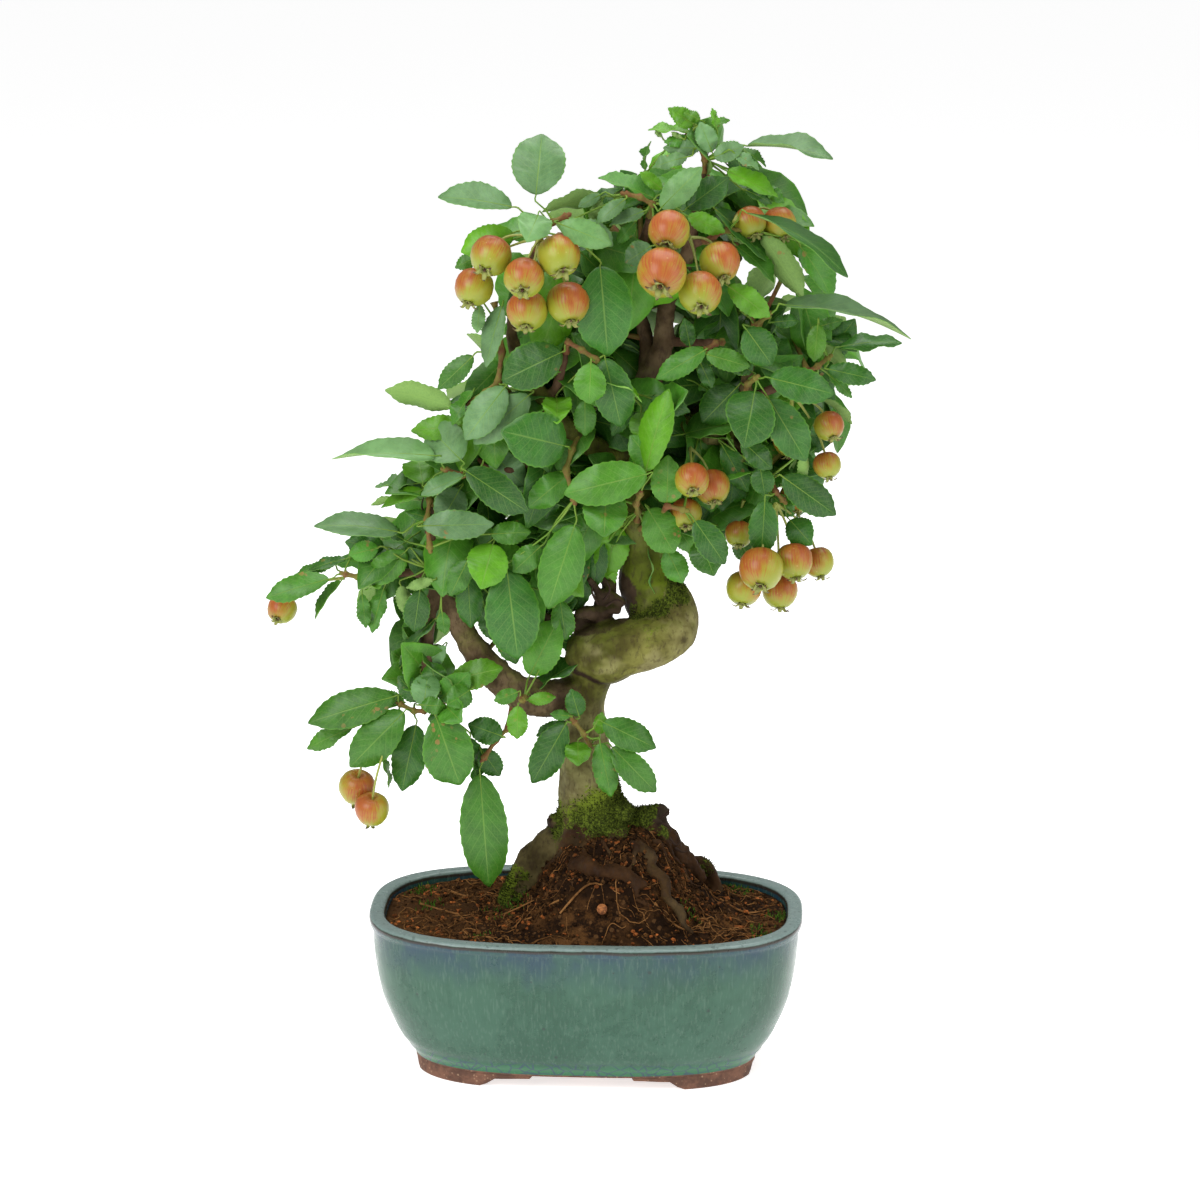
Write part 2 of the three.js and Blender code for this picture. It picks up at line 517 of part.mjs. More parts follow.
function foot(signX, signY) {
  const stations = signX * signY < 0 ? [...FOOT_STATIONS].reverse() : FOOT_STATIONS;
  const corners = (k) => {
    const [degrees, underside] = stations[k];
    const angle = THREE.MathUtils.degToRad(degrees);
    const outer = onOval(BASE_HALF_LENGTH - FOOT_INSET, BASE_HALF_DEPTH - FOOT_INSET, angle);
    const inner = onOval(BASE_HALF_LENGTH - FOOT_WIDTH, BASE_HALF_DEPTH - FOOT_WIDTH, angle);
    const at = ([x, y], z) => new THREE.Vector3(signX * x, signY * y, z);
    return [at(outer, FOOT_TOP), at(outer, underside), at(inner, underside), at(inner, FOOT_TOP)];
  };
  const middle = (k) => {
    const [outerTop, , innerFoot] = corners(k);
    return outerTop.lerp(innerFoot, 0.5);
  };
  const quarter = (angle) => ((Math.round(angle / (Math.PI / 2)) % 4) + 4) % 4;
  return skin(stations.length, 4, middle, (k, angle) => corners(k)[quarter(angle)]);
}

// Inside the pot: the floor, and the bend where the floor turns up into the wall.
const FLOOR_TOP = FOOT_HEIGHT + FLOOR_THICKNESS;
const FLOOR_SHARE = 0.25;
const BEND_HEIGHT = THREE.MathUtils.lerp(FOOT_HEIGHT, POT_HEIGHT, 0.45);
const BEND_SHARE = 0.72;
const FLOOR_FILLET = 4;

function makePot() {
  const outer = WALL_PROFILE.map(([height, share]) => ({
    z: THREE.MathUtils.lerp(FOOT_HEIGHT, POT_HEIGHT, height),
    size: ovalSize(share, 0),
  }));
  const levels = [
    ...outer,
    { z: POT_HEIGHT, size: ovalSize(1, RIM_ROUNDING) },
    { z: POT_HEIGHT, size: ovalSize(1, WALL - RIM_ROUNDING) },
    { z: POT_HEIGHT - RIM_ROUNDING, size: ovalSize(1, WALL) },
    { z: BEND_HEIGHT, size: ovalSize(BEND_SHARE, WALL) },
    { z: FLOOR_TOP, size: ovalSize(FLOOR_SHARE, WALL + FLOOR_FILLET) },
  ];
  const holes = [-1, 1].map((side) => {
    const drill = new THREE.CylinderGeometry(DRAIN_RADIUS, DRAIN_RADIUS, 2 * FLOOR_TOP, DRAIN_SIDES);
    drill.rotateX(Math.PI / 2).translate((side * DRAIN_SPACING) / 2, 0, FLOOR_TOP);
    return toSolid(drill);
  });
  const feet = [[1, 1], [1, -1], [-1, 1], [-1, -1]].map(([x, y]) => foot(x, y));
  return join([ovalSkin(levels), ...feet]).subtract(join(holes));
}

function makeDrainMesh(side) {
  const thin = new THREE.BoxGeometry(2 * MESH_HALF_SIDE, 2 * MESH_HALF_SIDE, MESH_THICKNESS);
  thin.translate((side * DRAIN_SPACING) / 2, 0, FLOOR_TOP + GAP + MESH_THICKNESS / 2);
  return toSolid(thin);
}

// ---- Soil ----
// Ever smaller ovals up the mound: share of the rim's size, and share of the mound's height.
const MOUND_PROFILE = [[0.94, 0.01], [0.7, 0.03], [0.5, 0.16], [0.36, 0.52], [0.27, 0.85], [0.16, 1]];
const SOIL_INSET = WALL + 2 * GAP;
const SOIL_EDGE_DROP = 1.5; // how far the soil's edge lies below its level

function makeSoil(grownWood) {
  const mound = MOUND_PROFILE.map(([share, lift]) => ({
    z: SOIL_LEVEL + lift * MOUND_HEIGHT,
    size: ovalSize(1, SOIL_INSET).map((length) => length * share),
    x: MOUND_X * (1 - share),
    y: MOUND_Y * (1 - share),
  }));
  const levels = [
    { z: FLOOR_TOP + MESH_THICKNESS + 2 * GAP, size: ovalSize(FLOOR_SHARE, SOIL_INSET + FLOOR_FILLET + 1) },
    { z: BEND_HEIGHT, size: ovalSize(BEND_SHARE - 0.02, SOIL_INSET) },
    { z: SOIL_LEVEL - SOIL_EDGE_DROP, size: ovalSize(wallShare(SOIL_LEVEL), SOIL_INSET) },
    ...mound,
  ];
  return largestPiece(ovalSkin(levels).subtract(grownWood));
}

// ---- Wood ----
function makeWood(extra) {
  return join([
    ...TRUNK.map((rows) => woodTube(rows, TRUNK_SIDES, extra)),
    ...Object.values(ROOTS).map((rows) => woodTube(rows, LIMB_SIDES, extra)),
    ...Object.values(LIMBS).map((rows) => woodTube(rows, LIMB_SIDES, extra)),
  ]);
}

// ---- Shoots ----
// Base, tip, full width and upper normal of a blade from its row on the sheet. A blade that looks
// short for its width leans to or from the front, and one that looks slim is turned about its midrib.
function placeBlade([baseX, baseY, tipX, tipY, across, behind, shown], stemBehind) {
  const under = shown === "P" ? -1 : 1;
  const seenLength = Math.hypot(tipX - baseX, tipY - baseY) * SHEET.square;
  const seenWidth = across * SHEET.square;
  const length = Math.max(seenLength, seenWidth / BROAD_BLADE);
  const width = Math.max(seenWidth, SLIM_BLADE * length);
  const rises = baseY - tipY > STEEP_BLADE * Math.abs(tipX - baseX) ? 1 : -1;
  const lean = Math.sqrt(length ** 2 - seenLength ** 2) * rises * under;
  const base = seen([baseX, baseY, stemBehind + behind]);
  const tip = seen([tipX, tipY, stemBehind + behind + lean]);
  const along = tip.clone().sub(base).normalize();
  const flat = TO_VIEWER.clone().multiplyScalar(under);
  flat.addScaledVector(along, -flat.dot(along)).normalize();
  const turn = Math.min(Math.acos(seenWidth / width), MOST_TURN);
  const [one, other] = [turn, -turn].map((angle) => flat.clone().applyAxisAngle(along, angle));
  return { base, tip, width, normal: one.z > other.z ? one : other };
}

// Sections of a leaf: the real one is a ridged triangle drawn out to a point, and the grown one that
// neighbours keep clear of is a rectangle round it, with a blunt end.
const RIDGED_SECTION = { rings: 3, sides: 3, turned: 0, rise: 1, spread: 1 / Math.sin(Math.PI / 3) };
const GROWN_SECTION = { rings: 4, sides: 4, turned: Math.PI / 4, rise: Math.SQRT2, spread: Math.SQRT2 };

// A leaf in one closed three-sided skin: the petiole from the nearest stem point, then the blade,
// flat below, ridged along its midrib and drawn out to the tip. The stem starts inside the wood.
// Sockets step back along the stem in turn, as alternate leaves do.
function leaf(stem, { base, tip, width, normal }, turn, extra) {
  const closer = (one, other) => (other.distanceTo(base) < one.distanceTo(base) ? other : one);
  const nearest = stem.slice(1).reduce(closer);
  const backward = stem[stem.indexOf(nearest) - 1].clone().sub(nearest).normalize();
  const node = nearest.clone().addScaledVector(backward, SOCKET_STEP * (turn % SOCKET_STEPS));
  const start = node.clone().addScaledVector(base.clone().sub(node).normalize(), PETIOLE_SOCKET - extra);
  const along = tip.clone().sub(base).normalize();
  const up = normal.clone().addScaledVector(along, -normal.dot(along)).normalize();
  const across = along.clone().cross(up);
  const centres = [start, base, base.clone().lerp(tip, WIDEST_AT), tip.clone().addScaledVector(along, extra)];
  const halfWidths = [PETIOLE_RADIUS, BLADE_SHOULDER * width, width / 2, 0];
  const { rings, sides, turned, rise, spread } = extra > 0 ? GROWN_SECTION : RIDGED_SECTION;
  return skin(rings, sides, (k) => (k === 0 ? start : centres[3]), (k, angle) =>
    centres[k].clone()
      .addScaledVector(up, Math.cos(angle - turned) * rise * (BLADE_RIDGE + extra))
      .addScaledVector(across, Math.sin(angle - turned) * spread * (halfWidths[k] + extra)));
}

// A shoot's stem, ending in a bud just past its last point.
function stemTube(stem, extra) {
  const last = stem.length - 1;
  const onward = stem[last].clone().sub(stem[last - 1]).normalize();
  const points = [...stem, stem[last].clone().addScaledVector(onward, BUD_LENGTH)];
  return tube(points, points.map(() => TWIG_RADIUS), LIMB_SIDES, extra);
}

function makeShoot({ stem, blades }, extra) {
  const points = stem.map(seen);
  const stemBehind = ([x, y]) => {
    const apart = (point) => Math.hypot(point[0] - x, point[1] - y);
    return stem.reduce((one, other) => (apart(other) < apart(one) ? other : one))[2];
  };
  const leaves = blades.map((row, k) => leaf(points, placeBlade(row, stemBehind(row)), k, extra));
  return join([stemTube(points, extra), ...leaves]);
}

// A rosette on the crown's hidden side: blades turned by the golden angle, tips out and down.
function makeRosette([x, y, behind, count], limb, extra) {
  const foot = seen(limb[limb.length - 1]);
  const head = seen([x, y, behind]);
  const axis = FORWARD.clone().negate();
  const golden = Math.PI * (3 - Math.sqrt(5));
  const leaves = Array.from({ length: count }, (_, k) => {
    const spread = THREE.MathUtils.lerp(...ROSETTE_SPREAD, k / (count - 1));
    const round = UP.clone().applyAxisAngle(axis, k * golden);
    const outward = axis.clone().multiplyScalar(Math.cos(spread)).addScaledVector(round, Math.sin(spread));
    const base = head.clone().addScaledVector(outward, ROSETTE_PETIOLE);
    const tip = base.clone().addScaledVector(outward, ROSETTE_BLADE).addScaledVector(UP, -ROSETTE_DROOP);
    const normal = axis.clone().multiplyScalar(ROSETTE_FACING[0]).addScaledVector(UP, ROSETTE_FACING[1]);
    return leaf([foot, head], { base, tip, width: ROSETTE_WIDTH, normal }, k, extra);
  });
  return join([stemTube([foot, head], extra), ...leaves]);
}

// ---- Crabapples ----
// Turned profile from calyx to stalk end, [radius, height] as shares of the fruit's radius.
const FRUIT_PROFILE = [[0, -1.1], [0.25, -1.1], [0.62, -0.82], [1.02, -0.12], [0.76, 0.68], [0, 0.84]];
const FRUIT_LEAN = 0.4; // how far the calyx tips towards the front
const FRUIT_PULL = 0.5; // how far the stalk end tips towards its spur
const FACET_GROWTH = 1.3; // a grown fruit's facets keep the whole gap
const STALK_START = 0.6; // inside the fruit, as a share of its radius
const STALK_RISE = 0.4; // how far the stalk leaves straight, as a share of the way to the spur
const STALK_SPANS = 3;
const STALK_SIDES = 3;

function fruitAxis(centre, spur) {
  const toSpur = spur.clone().sub(centre).normalize();
  return toSpur.multiplyScalar(FRUIT_PULL).add(UP).addScaledVector(TO_VIEWER, -FRUIT_LEAN).normalize();
}

function fruitBody({ centre, axis, radius }, extra) {
  const scale = radius + FACET_GROWTH * extra;
  const points = FRUIT_PROFILE.map(([r, z]) => new THREE.Vector2(r, z).multiplyScalar(scale));
  const body = new THREE.LatheGeometry(points, FRUIT_SIDES);
  body.applyQuaternion(new THREE.Quaternion().setFromUnitVectors(new THREE.Vector3(0, 1, 0), axis));
  body.translate(centre.x, centre.y, centre.z);
  return toSolid(body);
}

function fruitStalk({ centre, axis, radius, spur }, extra) {
  const start = centre.clone().addScaledVector(axis, STALK_START * radius);
  const bend = centre.clone().addScaledVector(axis, radius + STALK_RISE * spur.distanceTo(centre));
  const points = new THREE.QuadraticBezierCurve3(start, bend, spur).getPoints(STALK_SPANS);
  return tube(points, points.map(() => STALK_RADIUS), STALK_SIDES, extra);
}

// ---- Assembly ----
const bonsai = new THREE.Group();
const taken = []; // what later pieces keep clear of: each earlier piece, grown by the gap

function boxesMeet(one, other) {
  const a = one.boundingBox();
  const b = other.boundingBox();
  return [0, 1, 2].every((axis) => a.min[axis] <= b.max[axis] && b.min[axis] <= a.max[axis]);
}

const clearOf = (solid, others) =>
  others.filter((other) => boxesMeet(solid, other)).reduce((left, other) => left.subtract(other), solid);

function addPart(name, solid, finish) {
  const mesh = new THREE.Mesh(toGeometry(solid), new THREE.MeshStandardMaterial(MATERIALS[finish]));
  mesh.name = name;
  bonsai.add(mesh);
}

const grownWood = makeWood(GAP);
addPart("pot", makePot(), "glaze");
addPart("drain_mesh_left", makeDrainMesh(-1), "mesh");
addPart("drain_mesh_right", makeDrainMesh(1), "mesh");
addPart("soil", makeSoil(grownWood), "soil");
addPart("trunk", makeWood(0), "bark");
taken.push(grownWood);

const fruits = Object.entries(TRUSSES).flatMap(([truss, { spur: origin, fruits: rows }]) =>
  rows.map(([x, y, behind, squares], k) => {
    const centre = seen([x, y, behind]);
    const spur = seen(origin);
    return {
      name: `apple_${truss}_${k + 1}`,
      centre,
      spur,
      radius: (squares * SHEET.square) / 2,
      axis: fruitAxis(centre, spur),
    };
  }),
);
const grownFruits = fruits.map((fruit) => fruitBody(fruit, GAP));
const grownShoots = [];

function addShoot(name, build) {
  const solid = clearOf(build(0), [...taken, ...grownFruits]);
  addPart(`leafy_shoot_${name}`, settled(solid), "leaf");
  const grown = build(GAP);
  taken.push(grown);
  grownShoots.push(grown);
}

Object.entries(SHOOTS).forEach(([name, shoot]) => addShoot(name, (extra) => makeShoot(shoot, extra)));
Object.entries(ROSETTES).forEach(([name, row]) => {
  addShoot(name, (extra) => makeRosette(row, LIMBS[name], extra));
});

const grownStalks = [];
fruits.forEach((fruit, k) => {
  const others = grownFruits.filter((_, other) => other !== k);
  const stalk = clearOf(fruitStalk(fruit, 0), [grownWood, ...grownShoots, ...others, ...grownStalks]);
  addPart(fruit.name, settled(fruitBody(fruit, 0).add(stalk)), "fruit");
  grownStalks.push(fruitStalk(fruit, GAP));
});

// The origin stands under the middle of the whole object, on the surface that the feet rest on.
const box = new THREE.Box3().setFromObject(bonsai);
bonsai.position.set(-(box.min.x + box.max.x) / 2, -(box.min.y + box.max.y) / 2, 0);

export default bonsai;
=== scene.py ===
"""A crabapple bonsai in fruit: grown wood, serrated leaves, blushed crabapples, peaty soil and a
glazed oval-cornered pot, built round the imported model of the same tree."""

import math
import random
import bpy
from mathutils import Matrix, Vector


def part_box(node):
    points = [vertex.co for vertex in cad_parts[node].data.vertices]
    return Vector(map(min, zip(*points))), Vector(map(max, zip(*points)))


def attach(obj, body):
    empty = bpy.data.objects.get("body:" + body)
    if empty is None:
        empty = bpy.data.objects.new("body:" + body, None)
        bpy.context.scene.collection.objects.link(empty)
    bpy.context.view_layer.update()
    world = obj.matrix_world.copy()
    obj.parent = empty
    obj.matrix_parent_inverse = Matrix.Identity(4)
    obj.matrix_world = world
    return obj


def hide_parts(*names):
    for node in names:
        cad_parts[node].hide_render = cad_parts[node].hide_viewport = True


bl_info = {
    "name": "Crabapple bonsai",
    "version": (1, 0, 0),
    "blender": (4, 5, 0),
    "location": "View3D > Sidebar > Bonsai",
    "description": "Builds a fruiting crabapple bonsai in a glazed pot",
    "category": "Object",
}

import bmesh
import bpy
from mathutils import Matrix, Vector, kdtree, noise

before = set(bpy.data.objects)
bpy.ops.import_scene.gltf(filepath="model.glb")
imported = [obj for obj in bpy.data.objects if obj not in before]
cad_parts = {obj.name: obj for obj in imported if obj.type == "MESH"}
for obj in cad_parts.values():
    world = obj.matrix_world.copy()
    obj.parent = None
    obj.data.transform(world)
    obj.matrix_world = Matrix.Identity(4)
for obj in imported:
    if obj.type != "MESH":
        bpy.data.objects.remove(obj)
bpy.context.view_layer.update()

# ---- Sizes, in millimetres unless a name says otherwise ----
MM = 0.001
UP = Vector((0, 0, 1))
GOLDEN_ANGLE = math.pi * (3 - math.sqrt(5))

POT_LOW, POT_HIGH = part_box("pot")
POT_MIDDLE = Vector(((POT_LOW[0] + POT_HIGH[0]) / 2, (POT_LOW[1] + POT_HIGH[1]) / 2, 0))
RIM_HALF_LENGTH = (POT_HIGH[0] - POT_LOW[0]) / 2 / MM
RIM_HALF_DEPTH = (POT_HIGH[1] - POT_LOW[1]) / 2 / MM
POT_HEIGHT = POT_HIGH[2] / MM
BASE_HALF_LENGTH = 89
BASE_HALF_DEPTH = 48
CORNER_POWER = 2.9
WALL = 8
FOOT_HEIGHT = 7.5
DRAIN_RADIUS = 7
DRAIN_SPACING = 76
SOIL_LEVEL = 77.5
MOUND_MIDDLE = (12, 6)

# The tree is set out on a front sheet of half-millimetre squares, 1200 each way, counted from the
# top left corner. The sheet faces a viewpoint a little above and to the right of the pot's front.
SHEET_MIDDLE = 600
SQUARE = 0.5
AIM_SIDE = 7
AIM_HEIGHT = 245
TILT = math.radians(16)
TURN = math.radians(2.9)
REACH = 2000
FORWARD = Vector((math.sin(TURN), -math.cos(TURN), 0))
SIDEWAYS = Vector((math.cos(TURN), math.sin(TURN), 0))
TO_VIEWER = FORWARD * math.cos(TILT) + UP * math.sin(TILT)
AIM = POT_MIDDLE + (UP * AIM_HEIGHT + SIDEWAYS * AIM_SIDE) * MM

# Blades.
BROAD_BLADE = 0.8  # widest blade, as width over length
SLIM_BLADE = 0.42  # slimmest blade lying flat
STEEP_BLADE = 0.35  # rise over run above which a foreshortened blade leans away, not forward
MOST_TURN = 1.25  # radians that a blade turns about its midrib

# Wood: (sheet x, sheet y, distance behind the pot's middle, diameter).
TRUNK = (
    (
        (602, 930, 10, 46), (600, 880, 10, 54), (598, 850, 10, 50), (594, 822, 10, 42), (589, 796, 10, 33),
        (587, 765, 10, 29), (585, 725, 10, 21), (585, 702, 8, 20), (589, 682, 7, 21), (596, 662, 5, 24),
    ),
    (
        (577, 656, 7, 22), (592, 652, 3, 29), (606, 652, 1, 33), (624, 648, 0, 30), (642, 645, -1, 28),
        (658, 639, 0, 27), (673, 629, 3, 26), (680, 612, 8, 20),
    ),
    (
        (674, 624, 6, 24), (657, 606, 14, 31), (648, 582, 16, 31), (643, 556, 14, 21.5), (641, 534, 12, 17),
        (638, 505, 10, 18), (636, 478, 9, 18), (637, 450, 9, 18), (643, 405, 8, 16), (652, 368, 8, 13.5),
    ),
)
LIMBS = {
    "right_leader": (
        (651, 378, 8, 13), (662, 345, 6, 10.5), (669, 302, 4, 9), (684, 268, 2, 7.5), (692, 232, 0, 6),
        (700, 195, -2, 4.5), (704, 172, -3, 3.4),
    ),
    "left_leader": (
        (648, 388, 8, 10), (645, 338, 14, 7.5), (635, 292, 15, 6.5), (641, 250, 6, 5), (650, 216, -6, 3.6),
    ),
    "left_branch": (
        (580, 691, 8, 22), (562, 699, 3, 21), (533, 696, 0, 19), (506, 683, -4, 16.5), (481, 658, -4, 14),
        (460, 626, -2, 12), (446, 596, 0, 10), (433, 562, 0, 8), (431, 530, -2, 6.5), (433, 506, -4, 5),
    ),
    "low_branch": (
        (438, 588, 0, 8), (430, 612, -2, 7.5), (426, 645, -6, 7), (428, 676, -9, 6), (430, 706, -13, 5),
    ),
    "outer_branch": ((441, 578, 0, 6), (415, 573, 0, 5), (384, 575, 0, 3.6)),
    "upper_left": (
        (636, 458, 9, 13), (605, 452, 2, 11.5), (570, 430, -6, 10.5), (546, 402, -10, 9),
        (524, 370, -14, 7.5), (512, 330, -16, 6), (522, 285, -20, 5), (535, 250, -26, 3.8),
    ),
    "middle_left": ((578, 434, -5, 6), (532, 462, -10, 5), (492, 474, -14, 3.6)),
    "centre_spur": ((550, 402, -10, 5.5), (560, 374, -16, 4.5), (566, 352, -20, 3.4)),
    "right_branch": (
        (641, 412, 8, 12), (676, 424, 8, 11.5), (714, 438, 6, 11), (736, 420, 2, 9), (744, 392, -6, 7),
        (751, 352, -10, 5.5), (754, 336, -12, 4),
    ),
    "low_right": ((716, 436, 6, 8), (745, 452, 2, 6), (764, 468, -4, 4)),
    "outer_right": ((743, 400, -4, 5.5), (780, 386, -6, 4.5), (808, 372, -6, 3.4)),
    "centre_right": ((663, 342, 6, 5.5), (696, 342, -4, 4.5), (722, 342, -12, 3.4)),
    "high_right": ((690, 244, 1, 4.6), (704, 241, -6, 3.4)),
    "back_upper": ((650, 378, 8, 8), (640, 344, 28, 6), (628, 314, 38, 4)),
    "back_right": ((680, 424, 8, 8), (712, 400, 28, 5.5), (734, 366, 38, 4)),
    "back_left": ((605, 452, 2, 8), (564, 436, 24, 5.5), (528, 416, 36, 4)),
    "back_middle": ((637, 500, 10, 8), (664, 488, 28, 6), (690, 470, 38, 4)),
    "back_low": ((470, 642, -3, 8), (464, 604, 18, 5.5), (452, 578, 32, 4)),
    "dead_stub": (
        (600, 630, 12, 9), (580, 622, 6, 9), (562, 622, 4, 8), (549, 620, 2, 7), (534, 612, -1, 5),
    ),
    "old_stub": ((600, 632, 10, 12), (603, 612, 8, 11.5), (607, 594, 9, 9), (612, 579, 10, 4.5)),
    "left_stub": ((580, 824, 8, 12), (560, 822, 4, 9), (549, 821, 2, 6.5)),
    "right_stub": ((628, 824, 10, 20), (650, 819, 8, 13), (662, 813, 7, 9)),
}
ROOTS = {
    "left": (
        (584, 846, 9, 28), (562, 860, 9, 24), (540, 874, 10, 19), (522, 890, 11, 15), (508, 908, 12, 10),
        (498, 922, 12, 6),
    ),
    "right": (
        (620, 838, 10, 28), (646, 856, 11, 21), (667, 879, 12, 15), (684, 902, 12, 11), (700, 920, 12, 7),
    ),
    "front": ((602, 858, 6, 24), (600, 884, -4, 18), (594, 908, -14, 12), (590, 930, -24, 6)),
    "front_right": (
        (638, 860, 4, 14), (656, 884, -8, 9), (672, 908, -18, 6.5), (684, 926, -28, 5), (702, 944, -38, 4),
    ),
    "arched": (
        (668, 878, 18, 9), (684, 866, 23, 7.5), (702, 865, 25, 8), (714, 882, 24, 7), (719, 904, 22, 6),
    ),
    "back_left": ((580, 850, 20, 24), (558, 862, 30, 15), (540, 878, 37, 9), (530, 894, 41, 6)),
    "back": ((612, 850, 22, 26), (622, 864, 32, 16), (628, 878, 40, 9), (632, 896, 45, 6)),
}

